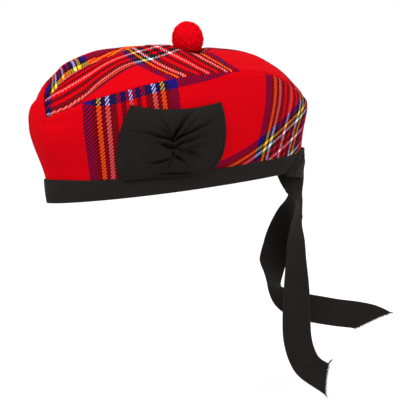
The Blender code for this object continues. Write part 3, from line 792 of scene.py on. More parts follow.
# How much fuzz, ribs, dust, creases and the woven edge lighten it, each with the shade it starts from;
# the ribs and creases carry painted shade, and the woven edge is lighter partly as a painted sheen
TAPE_FUZZ_SHADE = (0.9, 0.55)
RIB_PAINTED_SHADE = (0.12, 1.0)
DUST_SHADE = (0.5, 0.75)
CREASE_PAINTED_SHADE = (-0.7, 1.0)
SELVEDGE_AND_PAINTED_SHEEN = (0.45, 1.0)


def tape(name, colour, rib, selvedge=None):
    """Black woven tape: fine ribs across it with painted shade between them, slightly dusty, with painted
    shade in its creases, and firmer at its edges, which are painted lighter partly as a sheen.
    """
    made, tree, shader, on_piece = cloth_shader(name, *TAPE_SURFACE)
    times, plus, scaled = maths(tree)
    uv = cloth_place(tree)
    rib = rib / MM
    drift = times(speckle(tree, on_piece, RIB_DRIFT_SIZE), 0.8)
    # The ribs are painted lighter on their crests and darker between them, as shade
    ribs = calc(tree, "SINE", times(plus(uv[0], drift), 2 * math.pi / rib))
    threads = calc(tree, "SINE", times(uv[1], 2 * math.pi / (0.6 * rib)))
    fuzz = speckle(tree, on_piece, TAPE_FUZZ_SIZE, 3.0, 0.7)
    dust = speckle(tree, on_piece, DUST_SIZE, 3.0, 0.6)
    # Painted shade in creases, read from the piece's crease attribute
    painted_crease_shade = add(tree, "ShaderNodeAttribute", attribute_name="crease").outputs["Fac"]
    height = plus(plus(times(ribs, 0.5), times(threads, 0.25)), fuzz)
    shade = scaled(fuzz, *TAPE_FUZZ_SHADE)
    for value, lighter in ((ribs, RIB_PAINTED_SHADE), (dust, DUST_SHADE), (painted_crease_shade, CREASE_PAINTED_SHADE)):
        shade = times(shade, scaled(value, *lighter))
    # The woven edge is painted lighter, partly its own firmer weave and partly a painted sheen, and stands a
    # little higher
    if selvedge is not None:
        edge = calc(tree, "GREATER_THAN", calc(tree, "ABSOLUTE", uv[1]), selvedge)
        shade = times(shade, scaled(edge, *SELVEDGE_AND_PAINTED_SHEEN))
        height = scaled(edge, 1.5, height)
    shade_colour(tree, colour, shade, shader)
    bump(tree, height, TAPE_DEPTH, 0.7, shader)
    return made


def ring_profile(angle):
    """Band height and lean at angles anywhere round the rim, the same on both sides."""
    near = np.minimum(angle, 2 * math.pi - angle)
    angles, _, _, lean, band = stations()
    return (np.interp(near, np.radians(angles), values) for values in (band * BAND_HEIGHT, lean))


def beside_rim(angle, out, up):
    """Points outside the wool's outer face at heights, anywhere round the rim."""
    angle, out, up = np.broadcast_arrays(*(np.asarray(value, float) for value in (angle, out, up)))
    band_top, lean = ring_profile(angle)
    near = np.minimum(angle, 2 * math.pi - angle)
    point = rim_plan(near) + rim_out(near) * (out + lean * BACK_LEAN * up / band_top)[..., None]
    point[..., 2] += up
    return np.where((angle > math.pi)[..., None], point * FLIP, point)


black_tape = tape("black_tape", TAPE_COLOUR, TAPE_RIB)
turns = np.arange(BAND_STEPS) / BAND_STEPS * 2 * math.pi
band_top, _ = ring_profile(turns)
for rise, often, seed in BAND_RIPPLES:
    band_top = band_top + rise * np.array([
        noise.noise(Vector((often * math.cos(a), often * math.sin(a), seed))) for a in turns])
outside, inside, bend = GAP + BAND_TAPE, -WOOL - GAP - BAND_TAPE, BAND_TAPE * 0.5
rounded = 0.3 * bend
profile = [
    (outside - bend, 0.0), (outside - rounded, rounded), (outside, bend),
    *((outside + BAND_SWELL * math.sin(math.pi * t), bend + (band_top - bend) * t)
      for t in steps(BAND_ROWS)[1:-1]),
    (outside - EDGE_ROUND, band_top), (GAP + EDGE_ROUND, band_top + EDGE_ROUND), (GAP, band_top - EDGE_ROUND),
    (GAP, BAND_TAPE), (-WOOL - GAP, BAND_TAPE), (-WOOL - GAP, BAND_INSIDE_HEIGHT),
    *((inside, BAND_INSIDE_HEIGHT * t) for t in steps(4)[:0:-1]),
    (inside, bend), (inside + rounded, rounded), (inside + bend, 0.0),
]
ring = np.stack([beside_rim(turns, out, up) for out, up in profile], 1)
rows, columns = ring.shape[:2]
at = np.arange(rows * columns).reshape(rows, columns)
ahead, beside = np.roll(at, -1, 0), np.roll(at, -1, 1)
faces = np.stack([ahead, np.roll(ahead, -1, 1), beside, at], -1).reshape(-1, 4)
round_rim = climb(np.concatenate([ring, ring[:1]]), 0)[:, 0]
round_tape = climb(np.concatenate([ring, ring[:, :1]], 1), 1)


def band_cloth(corners):
    """Places round the rim and round the tape in mm; the last faces close both ways round."""
    row, column = corners // columns, corners % columns
    face = np.repeat(np.arange(len(faces)), 4)
    around = np.where((face // columns == rows - 1) & (row == 0), rows, row)
    over = np.where((face % columns == columns - 1) & (column == 0), columns, column)
    return np.stack([round_rim[around], round_tape[row, over]], -1)


headband = piece("headband_tape", ring.reshape(-1, 3), faces, black_tape, band_cloth)
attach(headband, "root")
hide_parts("headband")


# ---- Band stitches
# A row of short machine stitches in black thread, just below the band's upper edge. It goes through
# both layers of the tape and the wool between them.
STITCH_LENGTH = 0.0021
STITCH_STEP = 0.0029
STITCH_THREAD = 0.00032
STITCH_BELOW_EDGE = 0.0019
STITCH_PROUD = 0.0003
THREAD_COLOURS = (0.004, 0.003, 0.003, 1.0), (0.022, 0.018, 0.017, 1.0)
THREAD_SURFACE = (0.55, 0.12, 0.0, (1.0, 1.0, 1.0, 1.0))
TWIST_SIZE = 0.0004
TWIST_DEPTH = 0.0001


def new_tree(name, inputs):
    """An empty node tree with a geometry input and output and the named inputs."""
    tree = bpy.data.node_groups.new(name, "GeometryNodeTree")
    tree.interface.new_socket("Geometry", in_out="INPUT", socket_type="NodeSocketGeometry")
    for label, kind in inputs.items():
        tree.interface.new_socket(label, in_out="INPUT", socket_type="NodeSocket" + kind)
    tree.interface.new_socket("Geometry", in_out="OUTPUT", socket_type="NodeSocketGeometry")
    return tree, tree.nodes.new("NodeGroupInput").outputs, tree.nodes.new("NodeGroupOutput").inputs


def set_out(tree, points, copy, rotation, size, material, result):
    """Copies on points, each turned and sized, made real and given their material."""
    size = add(tree, "ShaderNodeCombineXYZ", enumerate(size))
    placed = add(tree, "GeometryNodeInstanceOnPoints", {
        "Points": points, "Instance": copy, "Rotation": rotation, "Scale": size.outputs[0]})
    real = add(tree, "GeometryNodeRealizeInstances", {0: placed.outputs[0]})
    paint = add(tree, "GeometryNodeSetMaterial", {"Geometry": real.outputs[0], "Material": material})
    tree.links.new(paint.outputs[0], result[0])


def stitch_tree():
    """Short rounded stitches at even steps along a line of edges."""
    tree, given, result = new_tree("running_stitches", {
        "Step": "Float", "Length": "Float", "Thread": "Float", "Yarn": "Material"})
    line = add(tree, "GeometryNodeMeshToCurve", {"Mesh": given["Geometry"]})
    spaced = add(tree, "GeometryNodeResampleCurve", {
        "Curve": line.outputs["Curve"], "Length": given["Step"]}, mode="LENGTH")
    bead = add(tree, "GeometryNodeMeshUVSphere", {"Segments": 8, "Rings": 5, "Radius": 0.5})
    tangent = tree.nodes.new("GeometryNodeInputTangent").outputs[0]
    along = add(tree, "FunctionNodeAlignRotationToVector", {"Vector": tangent}, axis="X")
    set_out(tree, spaced.outputs["Curve"], bead.outputs["Mesh"], along.outputs[0],
            (given["Length"], given["Thread"], given["Thread"]), given["Yarn"], result)
    return tree


def grown(base, tree, name, **values):
    """The plain mesh object that a node tree makes of a base object."""
    carrier = shown(name + "_carrier", base.data.copy())
    modifier = carrier.modifiers.new(name, "NODES")
    modifier.node_group = tree
    sockets = {item.name: item.identifier for item in tree.interface.items_tree if item.in_out == "INPUT"}
    for label, value in values.items():
        modifier[sockets[label.replace("_", " ")]] = value
    bpy.context.view_layer.update()
    seen = carrier.evaluated_get(bpy.context.evaluated_depsgraph_get())
    mesh = bpy.data.meshes.new_from_object(seen)
    mesh.name = name
    carrier.modifiers.remove(modifier)
    bpy.data.objects.remove(carrier, do_unlink=True)
    return shown(name, mesh)


def thread():
    """Black sewing thread, a little shinier than the tape."""
    made, tree, shader, on_piece = cloth_shader("black_thread", *THREAD_SURFACE)
    twist = speckle(tree, on_piece, TWIST_SIZE, 2.0, 0.6)
    tree.links.new(mix_colour(tree, twist, *THREAD_COLOURS), shader.inputs["Base Color"])
    bump(tree, twist, TWIST_DEPTH, 0.6, shader)
    return made


black_thread = thread()
sewn = beside_rim(turns, outside + STITCH_PROUD, band_top - STITCH_BELOW_EDGE)
line_mesh = bpy.data.meshes.new("band_seam_line")
line_mesh.from_pydata(sewn.tolist(), [(i, (i + 1) % len(sewn)) for i in range(len(sewn))], [])
line = shown("band_seam_line", line_mesh)
band_stitches = grown(line, stitch_tree(), "band_stitches", Step=STITCH_STEP, Length=STITCH_LENGTH,
                      Thread=STITCH_THREAD, Yarn=black_thread)
bpy.data.objects.remove(line, do_unlink=True)
band_stitches.data.shade_smooth()
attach(band_stitches, "root")


# ---- Rosette
# A wide piece of the same black cloth with both ends turned under, drawn together at its centre by a
# few stitches so that folds fan out from the pinch, and sewn flat on the wearer's left side.

# Its four borders, in mm along the cap and above the rim
ROSETTE_TOP = (
    (-49.5, 79.5), (-42.0, 77.0), (-29.0, 74.0), (-16.0, 72.2), (-3.0, 71.2), (10.0, 71.2), (22.0, 72.2),
    (31.0, 73.0),
)
ROSETTE_BOTTOM = (
    (-61.5, 15.4), (-47.0, 15.4), (-34.4, 14.8), (-25.8, 14.6), (-17.0, 13.9), (-3.6, 13.1), (10.4, 13.2),
    (20.5, 16.0),
)
ROSETTE_FRONT = (
    (-61.5, 15.4), (-64.2, 21.0), (-65.0, 30.0), (-64.7, 39.4), (-63.3, 50.2), (-60.6, 60.0), (-57.0, 68.0),
    (-53.2, 74.4), (-49.5, 79.5),
)
ROSETTE_BACK = (
    (20.5, 16.0), (27.0, 23.0), (31.0, 31.4), (33.5, 44.1), (33.5, 54.0), (32.9, 61.6), (31.0, 73.0),
)
ROSETTE_ACROSS_STEPS = 250
ROSETTE_UP_STEPS = 165
# In mm: its least thickness, how much fuller it is at most, how deep folds may go below that, and the
# thickness left at its edge; where it is pinched, how far round that it shows, and by what share
ROSETTE_THICKNESS = 2.4
ROSETTE_FULLNESS = 6.0
ROSETTE_DEEPEST = -1.9
ROSETTE_AT_EDGE = 0.25
PINCH = (-16.8, 42.4)
PINCH_REACH = 13.0
PINCH_DRAW = 0.55
# Its front and back ends are rounded off from this share of the way out, down to this share of its
# thickness; its cloth's swells are full from this share of its size in from the border
ROSETTE_ROUND_FROM = 0.965
ROSETTE_ROUND_TO = 0.15
ROSETTE_SWELLS = ((0.7, 16.0, 51.0),)
ROSETTE_SWELLS_FROM_EDGE = 0.3
# How squarely its fullness ends along the cap and up it: the higher, the squarer
ROSETTE_SQUARE = (6, 4)
# How deep a furrow is where its painted shade is darkest, in mm, how that shade grows with depth,
# and how much darker than on the band the same cloth is painted here, as shade
PAINTED_SHADE_DEEPEST = 3.2
PAINTED_SHADE_GROWTH = 1.2
ROSETTE_PAINTED_SHADE = 0.88
ROSETTE_RIB = 0.0006
# Folds as lines in mm along the cap and above the rim; then the depth, the half width, how far the
# ridge beside it stands up, and 1 where that ridge is on the line's left or -1 on its right
ROSETTE_FOLDS = (
    (((-17.4, 46.6), (-16.2, 49.6), (-13.5, 53.4), (-10.4, 57.0), (-6.3, 61.5), (-0.9, 66.0), (6.5, 70.8)),
     5.0, 1.5, 1.2, -1),
    (((-17.0, 44.6), (-10.8, 47.8), (-5.9, 49.7), (2.5, 52.4), (13.7, 56.1), (26.4, 62.6)),
     4.2, 1.2, 2.0, -1),
    (((-16.6, 43.8), (-23.4, 47.4), (-32.3, 50.5), (-41.1, 54.0), (-57.6, 57.6)), 3.8, 1.2, 1.9, 1),
    (((-17.6, 46.5), (-21.7, 51.0), (-25.3, 53.9), (-32.1, 60.2)), 2.6, 1.0, 1.3, -1),
    (((-18.0, 48.0), (-24.8, 58.8), (-31.3, 71.8)), 2.0, 1.2, 0.9, 1),
    (((-28.9, 43.6), (-23.6, 40.4), (-20.4, 39.0), (-15.2, 37.8), (-10.3, 33.8), (-5.0, 32.4)),
     4.2, 1.1, 2.0, -1),
    (((-16.6, 39.6), (-11.4, 42.3), (-7.9, 43.5), (1.0, 44.4)), 3.0, 0.9, 1.6, -1),
    (((-22.5, 29.8), (-30.9, 27.9), (-36.3, 27.6), (-45.0, 28.6)), 3.2, 1.1, 1.5, 1),
    (((-18.3, 32.6), (-14.2, 28.9), (-11.1, 26.6), (-4.4, 18.6)), 3.8, 1.2, 1.7, -1),
    (((-14.0, 15.6), (-23.1, 16.6), (-38.6, 19.0)), 2.4, 1.2, 0.9, 1),
    (((-14.0, 15.6), (-4.0, 14.6), (6.0, 14.0)), 2.4, 1.2, 0.9, -1),
    (((-6.0, 35.0), (0.2, 32.1), (6.2, 27.0)), 3.0, 3.0, 0.6, 1),
    (((-6.9, 42.0), (2.6, 45.0), (14.5, 45.4)), 2.0, 1.4, 1.3, -1),
    (((-18.6, 37.0), (-19.4, 32.0), (-22.6, 25.0), (-28.0, 19.0)), 2.0, 1.3, 1.2, 1),
    (((-12.0, 36.0), (-3.0, 38.6), (8.0, 39.6), (20.0, 37.0)), 1.6, 1.6, 1.0, 1),
    (((-16.6, 44.2), (-9.0, 50.6), (0.0, 58.0), (11.0, 66.0)), 1.8, 1.1, 1.1, -1),
    (((-19.0, 41.4), (-29.0, 44.4), (-42.0, 45.0)), 1.5, 1.5, 0.8, -1),
    (((21.0, 24.0), (25.6, 30.0), (28.0, 38.0), (28.6, 47.0)), 2.0, 1.5, 0.9, 1),
    (((14.0, 17.2), (20.0, 21.0), (24.5, 26.0)), 1.1, 1.0, 0.7, -1),
)

# A fold's strength: at its start, over what share of its line it grows there, over what share it fades
# at the end and how it does
FOLD_START = 0.5
FOLD_GROWS = 0.10
FOLD_FADES = 0.7
FOLD_FADING = 0.8
# In half widths: how wide it is at its start and by how much it widens, its furrow's slopes on the
# ridge's side and on the other, and how far away the ridge is and how wide; then how sharp both are
FOLD_WIDTH = 0.80
FOLD_WIDENS = 0.25
FOLD_STEEP = 0.7
FOLD_SHALLOW = 1.6
RIDGE_AWAY = 1.7
RIDGE_WIDTH = 1.1
FOLD_SHARP = 1.4
EDGE_LINE_STEPS = 399
FOLD_LINE_STEPS = 59
# The cloth and band under it are looked for from out here, and their step is eased this many times
LOOKED_FROM = -0.2
BED_PASSES = 6


def edge_line(points, shares):
    """Points at shares of the length of a smooth line through the given ones."""
    dense = row_at(points, steps(EDGE_LINE_STEPS)).T
    length = np.concatenate([[0.0], np.cumsum(np.linalg.norm(np.diff(dense, axis=0), axis=1))])
    return np.stack([np.interp(shares * length[-1], length, dense[:, k]) for k in range(2)], -1)


def fold_relief(spots, line, depth, half_width, rise, ridge_side):
    """A fold's furrow along a line, steep towards the ridge beside it, and that ridge."""
    dense = row_at(line, steps(FOLD_LINE_STEPS)).T
    gap = spots[..., None, :] - dense
    distance = np.linalg.norm(gap, axis=-1)
    nearest = distance.argmin(-1)
    share = nearest / (len(dense) - 1)
    ahead = np.gradient(dense, axis=0)[nearest]
    offset = np.take_along_axis(gap, nearest[..., None, None], -2)[..., 0, :]
    side = ridge_side * np.sign(ahead[..., 0] * offset[..., 1] - ahead[..., 1] * offset[..., 0])
    away = distance.min(-1)
    strength = np.clip(share / FOLD_GROWS, FOLD_START, 1.0) * within((1 - share) / FOLD_FADES) ** FOLD_FADING
    reach = half_width * (FOLD_WIDTH + FOLD_WIDENS * share)
    slope = reach * np.where(side > 0, FOLD_STEEP, FOLD_SHALLOW)
    furrow = depth * strength * np.exp(-(away / slope) ** FOLD_SHARP)
    from_ridge = np.abs(away - RIDGE_AWAY * reach) / (RIDGE_WIDTH * reach)
    ridge = rise * strength * np.exp(-from_ridge**FOLD_SHARP) * (side > 0)
    return furrow, ridge


across_shares, up_shares = steps(ROSETTE_ACROSS_STEPS), steps(ROSETTE_UP_STEPS)
low, high = edge_line(ROSETTE_BOTTOM, across_shares), edge_line(ROSETTE_TOP, across_shares)
fore, aft = edge_line(ROSETTE_FRONT, up_shares), edge_line(ROSETTE_BACK, up_shares)
s, t = across_shares[:, None, None], up_shares[None, :, None]
patch = ((1 - t) * low[:, None] + t * high[:, None] + (1 - s) * fore[None] + s * aft[None]
         - ((1 - s) * (1 - t) * low[0] + s * (1 - t) * low[-1] + (1 - s) * t * high[0] + s * t * high[-1]))


def surface_of(made):
    mesh = made.data
    return BVHTree.FromPolygons([v.co for v in mesh.vertices], [face.vertices[:] for face in mesh.polygons])


carriers = [surface_of(side_left), surface_of(headband)]


def under_rosette(x, z):
    hits = [carrier.ray_cast(Vector((x, LOOKED_FROM, z)), Vector((0.0, 1.0, 0.0)))[0] for carrier in carriers]
    found = [hit.y for hit in hits if hit is not None]
    return min(found) if found else float("nan")


bed = np.array([[under_rosette(x * MM, z * MM) for x, z in row] for row in patch])
for _ in range(BED_PASSES):
    eased = bed.copy()
    eased[1:-1, 1:-1] = (bed[:-2, 1:-1] + bed[2:, 1:-1] + bed[1:-1, :-2] + bed[1:-1, 2:]) / 4
    bed = np.minimum(bed, eased)
a, b = np.abs(2 * s[..., 0] - 1), np.abs(2 * t[..., 0] - 1)
from_pinch = np.linalg.norm(patch - np.array(PINCH), axis=-1)
relief = ROSETTE_FULLNESS * (1 - a**ROSETTE_SQUARE[0]) * (1 - b**ROSETTE_SQUARE[1])
relief = relief * (1 - PINCH_DRAW * hill(from_pinch, PINCH_REACH))
crease = np.zeros_like(relief)
for fold in ROSETTE_FOLDS:
    furrow, ridge = fold_relief(patch, *fold)
    relief = relief - furrow + ridge
    crease = np.maximum(crease, furrow)
flat_grid = np.concatenate([patch * MM, np.zeros_like(patch[..., :1])], -1)
to_border = np.minimum(1 - a, 1 - b)
relief = relief + swells(flat_grid, ROSETTE_SWELLS) * within(to_border / ROSETTE_SWELLS_FROM_EDGE)
rounding = np.sqrt(1 - within((a - ROSETTE_ROUND_FROM) / (1 - ROSETTE_ROUND_FROM)) ** 2)
rounding = ROSETTE_ROUND_TO + (1 - ROSETTE_ROUND_TO) * rounding
thickness = ROSETTE_THICKNESS + np.maximum(relief, ROSETTE_DEEPEST)
lift = (ROSETTE_AT_EDGE + thickness * rounding) * MM
front_face = np.stack([patch[..., 0] * MM, bed - GAP - lift, patch[..., 1] * MM], -1)
back_face = np.stack([patch[..., 0] * MM, bed - GAP, patch[..., 1] * MM], -1)
# The rosette's tape is the band's cloth painted darker, as painted shade on the crumpled piece
rosette_tape_painted_darker = tape("rosette_tape_painted_darker", tuple(ROSETTE_PAINTED_SHADE * value for value in TAPE_COLOUR), ROSETTE_RIB)
rosette = slab("rosette_cloth", front_face, back_face, rosette_tape_painted_darker, patch[..., ::-1])
# Painted shade in the rosette's folds, darker the deeper the furrow, kept as the crease attribute
painted_crease_darkness = within(crease / PAINTED_SHADE_DEEPEST).ravel() ** PAINTED_SHADE_GROWTH
rosette.data.attributes.new("crease", "FLOAT", "POINT").data.foreach_set(
    "value", np.concatenate([painted_crease_darkness, 0 * painted_crease_darkness]).astype(np.float32))
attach(rosette, "root")
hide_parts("rosette")


# ---- Toorie
# A ball of red wool, felted and clipped so that its short dense pile hides all the yarn ends. A few
# stitches through its base hold it on the ridge of the top panel.
TOORIE_DIAMETER = 0.0290
TOORIE_FLAT = 0.0040
TOORIE_STRETCH = 1.10
TOORIE_SUNK = 0.0010
TOORIE_LOWER_FULLNESS = 0.0012
PILE_LENGTH = 0.0011
PILE_WIDTH = 0.00011
PILE_COUNT = 9000
PILE_LEAN = 0.7
# The clumps of its pile: how many there are round it and how high they stand
CLUMPS = ((5.5, 0.0006), (14.0, 0.0003))
FELT_BELOW_PILE = 0.0008
# The felt's surface in the same form as the wool's, its colours in hollows (darker there as painted
# shade), on clumps and on single hairs, and in metres the sizes of clumps and hairs and the depth of its
# relief
FELT_SURFACE = (0.95, 0.02, 0.03, (1.0, 0.15, 0.18, 1.0))
FELT_HOLLOW_PAINTED_SHADE = (0.50, 0.0005, 0.004, 1.0)
FELT_CLUMP = (0.61, 0.0006, 0.006, 1.0)
FELT_HAIR = (0.56, 0.0006, 0.006, 1.0)
CLUMP_SIZE = 0.0035
HAIR_SIZE = 0.0006
FELT_DEPTH = 0.0005


def felt():
    """Felted wool: cloudy red, with painted shade in the hollows between the clumps of pile."""
    made, tree, shader, on_piece = cloth_shader("toorie_wool", *FELT_SURFACE)
    clumps = speckle(tree, on_piece, CLUMP_SIZE, 3.0, 0.6)
    pile = speckle(tree, on_piece, HAIR_SIZE, 2.0, 0.7)
    # Painted shade: darker where the clumps dip, from the same noise that makes the relief
    colour = mix_colour(tree, clumps, FELT_HOLLOW_PAINTED_SHADE, FELT_CLUMP)
    tree.links.new(mix_colour(tree, pile, colour, FELT_HAIR), shader.inputs["Base Color"])
    bump(tree, calc(tree, "MULTIPLY_ADD", pile, 0.4, clumps), FELT_DEPTH, 0.7, shader)
    return made


toorie_wool = felt()
bpy.ops.mesh.primitive_ico_sphere_add(subdivisions=6, radius=1.0)
ball = bpy.context.object
ball.name = ball.data.name = "toorie_ball"
radius = TOORIE_DIAMETER / 2
foot = radius - TOORIE_FLAT
middle = Vector((TOORIE_ALONG, 0.0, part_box("toorie")[0].z + foot))
for vertex in ball.data.vertices:
    way = vertex.co.normalized()
    clump = sum(noise.noise(way * count) * height for count, height in CLUMPS)
    vertex.co = way * (radius - FELT_BELOW_PILE + clump)
    vertex.co.z = max(vertex.co.z, -foot)
    fuller = TOORIE_LOWER_FULLNESS * max(-way.z, 0.0) * math.sqrt(1 - way.z**2)
    vertex.co.x += way.x * fuller
    vertex.co.y += way.y * fuller
    vertex.co.z = radius - (radius - vertex.co.z) * TOORIE_STRETCH - TOORIE_SUNK
    vertex.co += middle
ball.data.materials.append(toorie_wool)
ball.data.shade_smooth()


def hair_tree():
    """Short hairs spread evenly over a surface, each leaning a little its own way."""
    tree, given, result = new_tree("clipped_hairs", {
        "Hair length": "Float", "Hair width": "Float", "Lean": "Float", "Hairs per square metre": "Float",
        "Wool": "Material"})
    scatter = add(tree, "GeometryNodeDistributePointsOnFaces", {
        "Mesh": given["Geometry"], "Density": given["Hairs per square metre"], "Seed": 7})
    hair = add(tree, "GeometryNodeMeshCone", {
        "Vertices": 3, "Radius Top": 0.3, "Radius Bottom": 1.0, "Depth": 1.0})
    lean = add(tree, "FunctionNodeRandomValue", {
        0: (-1.0, -1.0, -1.0), 1: (1.0, 1.0, 1.0), "Seed": 3}, data_type="FLOAT_VECTOR")
    leaning = add(tree, "ShaderNodeVectorMath", {
        0: lean.outputs[0], "Scale": given["Lean"]}, operation="SCALE")
    turn = add(tree, "FunctionNodeRotateRotation", {
        0: scatter.outputs["Rotation"], 1: leaning.outputs[0]}, rotation_space="LOCAL")
    spread = add(tree, "FunctionNodeRandomValue", {2: 0.55, 3: 1.0, "Seed": 11}, data_type="FLOAT")
    long = calc(tree, "MULTIPLY", given["Hair length"], spread.outputs[1])
    set_out(tree, scatter.outputs["Points"], hair.outputs["Mesh"], turn.outputs[0],
            (given["Hair width"], given["Hair width"], long), given["Wool"], result)
    return tree


hairs = hair_tree()
ball_area = 4 * math.pi * radius**2
pile = grown(ball, hairs, "toorie_pile", Hair_length=PILE_LENGTH, Hair_width=PILE_WIDTH, Lean=PILE_LEAN,
             Hairs_per_square_metre=PILE_COUNT / ball_area, Wool=toorie_wool)
for part in (ball, pile):
    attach(part, "root")
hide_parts("toorie")


# ---- Tape folded round the back
# The end of the headband's tape is wrapped once round the back of the band and tacked down; the
# tails come out from under it.
FOLD_TOP = 0.0185
FOLD_BELOW = 0.0120
FOLD_EDGE = 0.0008
FOLD_PUFF = 0.0030
FOLD_PRESSED = 0.0004
FOLD_REACH_FOOT = (41.0, 26.0)
FOLD_REACH_TOP = (25.0, 17.0)
FOLD_ROUND_STEPS = 150
FOLD_UP_STEPS = 60
FOLD_LEAST = 0.0007
# How far the lower border climbs towards the near end and the far end, as shares of FOLD_BELOW
FOLD_CLIMB = (0.78, 0.4)
# The puff ends at this share of its height, is full this much lower, and is flat at both ends, as are
# the creases, the more suddenly the higher the last two; furrows are this much of their stated depth
FOLD_PUFF_END = 0.95
FOLD_PUFF_EASE = 0.45
FOLD_FLAT_ENDS = 4
CREASE_FLAT_ENDS = 12
FOLD_CREASE_DEPTH = 0.7
# Creases in mm from the near border and above the rim, as on the rosette
FOLD_CREASES = (
    (((16.5, 17.0), (11.0, 10.0), (6.5, 3.0), (4.5, -2.0)), 1.6, 0.9, 0.9, 1),
    (((24.0, 17.0), (20.0, 9.0), (15.0, 0.0), (13.0, -6.0)), 0.9, 1.4, 0.5, -1),
    (((34.0, 15.0), (29.0, 9.0), (26.0, 2.0)), 1.0, 1.2, 0.6, 1),
)

across = np.linspace(-1.0, 1.0, FOLD_ROUND_STEPS + 1)[:, None]
share = steps(FOLD_UP_STEPS)[None, :]
drop = FOLD_BELOW * (1 - FOLD_CLIMB[0] * within(-across) - FOLD_CLIMB[1] * within(across))
up = -drop + (FOLD_TOP + drop) * share
foot, peak = (np.radians(np.where(across < 0, near, far)) for near, far in (FOLD_REACH_FOOT, FOLD_REACH_TOP))
angle = math.pi + across * (foot + (peak - foot) * share)
rest = 2 * GAP + BAND_TAPE - FOLD_PRESSED * share
puffed = soft_step((FOLD_PUFF_END - share) / FOLD_PUFF_EASE) * within((1 - across**2) * FOLD_FLAT_ENDS)
puff = FOLD_EDGE + (FOLD_PUFF - FOLD_EDGE) * puffed
fold_inner = beside_rim(angle, rest, up)
fold_spots = np.stack([climb(fold_inner, 0), up / MM + 0 * angle], -1)
for line in FOLD_CREASES:
    furrow, ridge = fold_relief(fold_spots, *line)
    puff = puff + (ridge - FOLD_CREASE_DEPTH * furrow) * MM * within((1 - across**2) * CREASE_FLAT_ENDS)
fold_outer = beside_rim(angle, rest + np.maximum(puff, FOLD_LEAST), up)
fold_cloth = np.stack([climb(fold_outer, 0), climb(fold_outer, 1)], -1)
tail_fold = slab("tail_fold_tape", fold_outer, fold_inner, black_tape, fold_cloth)
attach(tail_fold, "root")
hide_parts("tail_fold")


# ---- Tails
# Two lengths of the same tape that hang from the back. The nearer one hangs almost straight and
# curls forward at its foot; the other is turned over once and swings out behind. Their ends are cut raw.
TAPE_WIDTH = 0.0270
TAIL_TAPE_THICKNESS = 0.0007
TAIL_FACING = math.radians(20.0)
TAIL_BEHIND_RIM = 0.0025
# Each tail from the fold down: the middle's place along the cap, height and depth in tape widths;
# slant and turn in degrees; how far its back edge runs past the front one, in tape widths
TAIL_LONG = (
    (-0.50, 0.16, -0.24, 0.0, 0.0, 0.0),
    (-0.37, -0.75, -0.22, -8.0, 50.0, 0.0),
    (-0.24, -1.17, -0.22, -12.0, 70.0, 0.0),
    (-0.32, -1.55, -0.22, -8.0, 67.0, 0.0),
    (-0.43, -2.00, -0.22, -8.0, 60.0, 0.0),
    (-0.49, -2.54, -0.22, -6.0, 48.0, 0.0),
    (-0.56, -3.25, -0.22, -8.0, 38.0, 0.0),
    (-0.65, -4.32, -0.22, -9.0, 20.0, 0.0),
    (-0.76, -5.29, -0.22, -7.0, 6.0, 0.0),
    (-0.79, -5.94, -0.22, -1.0, 0.0, 0.0),
    (-0.69, -6.53, -0.22, 12.0, 0.0, 0.0),
    (-0.44, -7.03, -0.22, 31.0, 0.0, 0.0),
    (0.19, -7.58, -0.22, 50.0, 0.0, -0.6),
)
TAIL_CURLED = (
    (-0.03, -0.12, 0.30, 0.0, 75.0, 0.0),
    (-0.12, -0.96, 0.40, -8.0, 62.0, 0.0),
    (-0.43, -1.45, 0.44, -8.0, 45.0, 0.0),
    (-0.78, -2.15, 0.44, -5.0, 25.0, 0.0),
    (-1.05, -2.92, 0.44, -3.0, 0.0, 0.0),
    (-1.16, -3.34, 0.44, -7.0, -35.0, 0.0),
    (-1.20, -3.69, 0.44, -14.0, -56.0, 0.0),
    (-1.20, -4.01, 0.44, -1.0, -66.0, 0.0),
    (-1.10, -4.25, 0.44, 24.0, -56.0, 0.0),
    (-0.93, -4.54, 0.44, 38.0, -43.0, 0.0),
    (-0.60, -4.77, 0.44, 48.0, -20.0, 0.0),
    (-0.21, -4.98, 0.44, 60.0, 0.0, 0.0),
    (0.28, -5.15, 0.44, 66.0, 0.0, 0.0),
    (1.11, -5.42, 0.44, 70.0, 0.0, 0.0),
    (1.85, -5.63, 0.44, 69.0, 0.0, 0.35),
    (2.55, -5.87, 0.44, 68.0, 0.0, 1.20),
)
TAIL_STEPS = 260
TAIL_WIDTH_STEPS = 26
# From what share of its length each tail's end is rounded, how deeply the tape is cupped across, and
# how much of each edge is woven firmer and painted lighter, partly as a painted sheen, in mm
TAIL_END_FROM = 0.86
TAIL_CUP = 0.0005
TAIL_SELVEDGE = 1.0
TAIL_SWELLS = ((0.6, 22.0, 61.0),)
# Creases in mm down the tape and across it, in the same form as the rosette's
TAIL_LONG_CREASES = (
    (((24.0, -13.5), (29.0, -6.0), (36.0, 4.0), (43.0, 13.5)), 0.8, 0.9, 0.9, -1),
    (((202.0, 13.0), (196.0, 4.0), (190.0, -5.0), (185.0, -13.5)), 1.4, 2.6, 0.4, 1),
)
TAIL_CURLED_CREASES = (
    (((70.0, -13.5), (74.0, -4.0), (76.0, 6.0)), 0.6, 2.6, 0.2, 1),
    (((46.0, 13.5), (49.0, 4.0), (53.0, -8.0)), 0.6, 2.4, 0.2, 1),
)

# Each tail: its rows; how far its end is rounded or, below 0, hollow; at what height, how far and over
# what spread its back edge stands out; where its end droops from, over what length and how far; and
# its creases
TAIL_SHAPES = (
    ("tail_long", TAIL_LONG, -0.0012, (-0.0470, 0.0015, 0.0018), (0.1960, 0.0200, 0.0), TAIL_LONG_CREASES),
    ("tail_curled", TAIL_CURLED, 0.0030, (-0.0470, 0.0, 0.0018), (0.1960, 0.0200, 0.0034),
     TAIL_CURLED_CREASES),
)
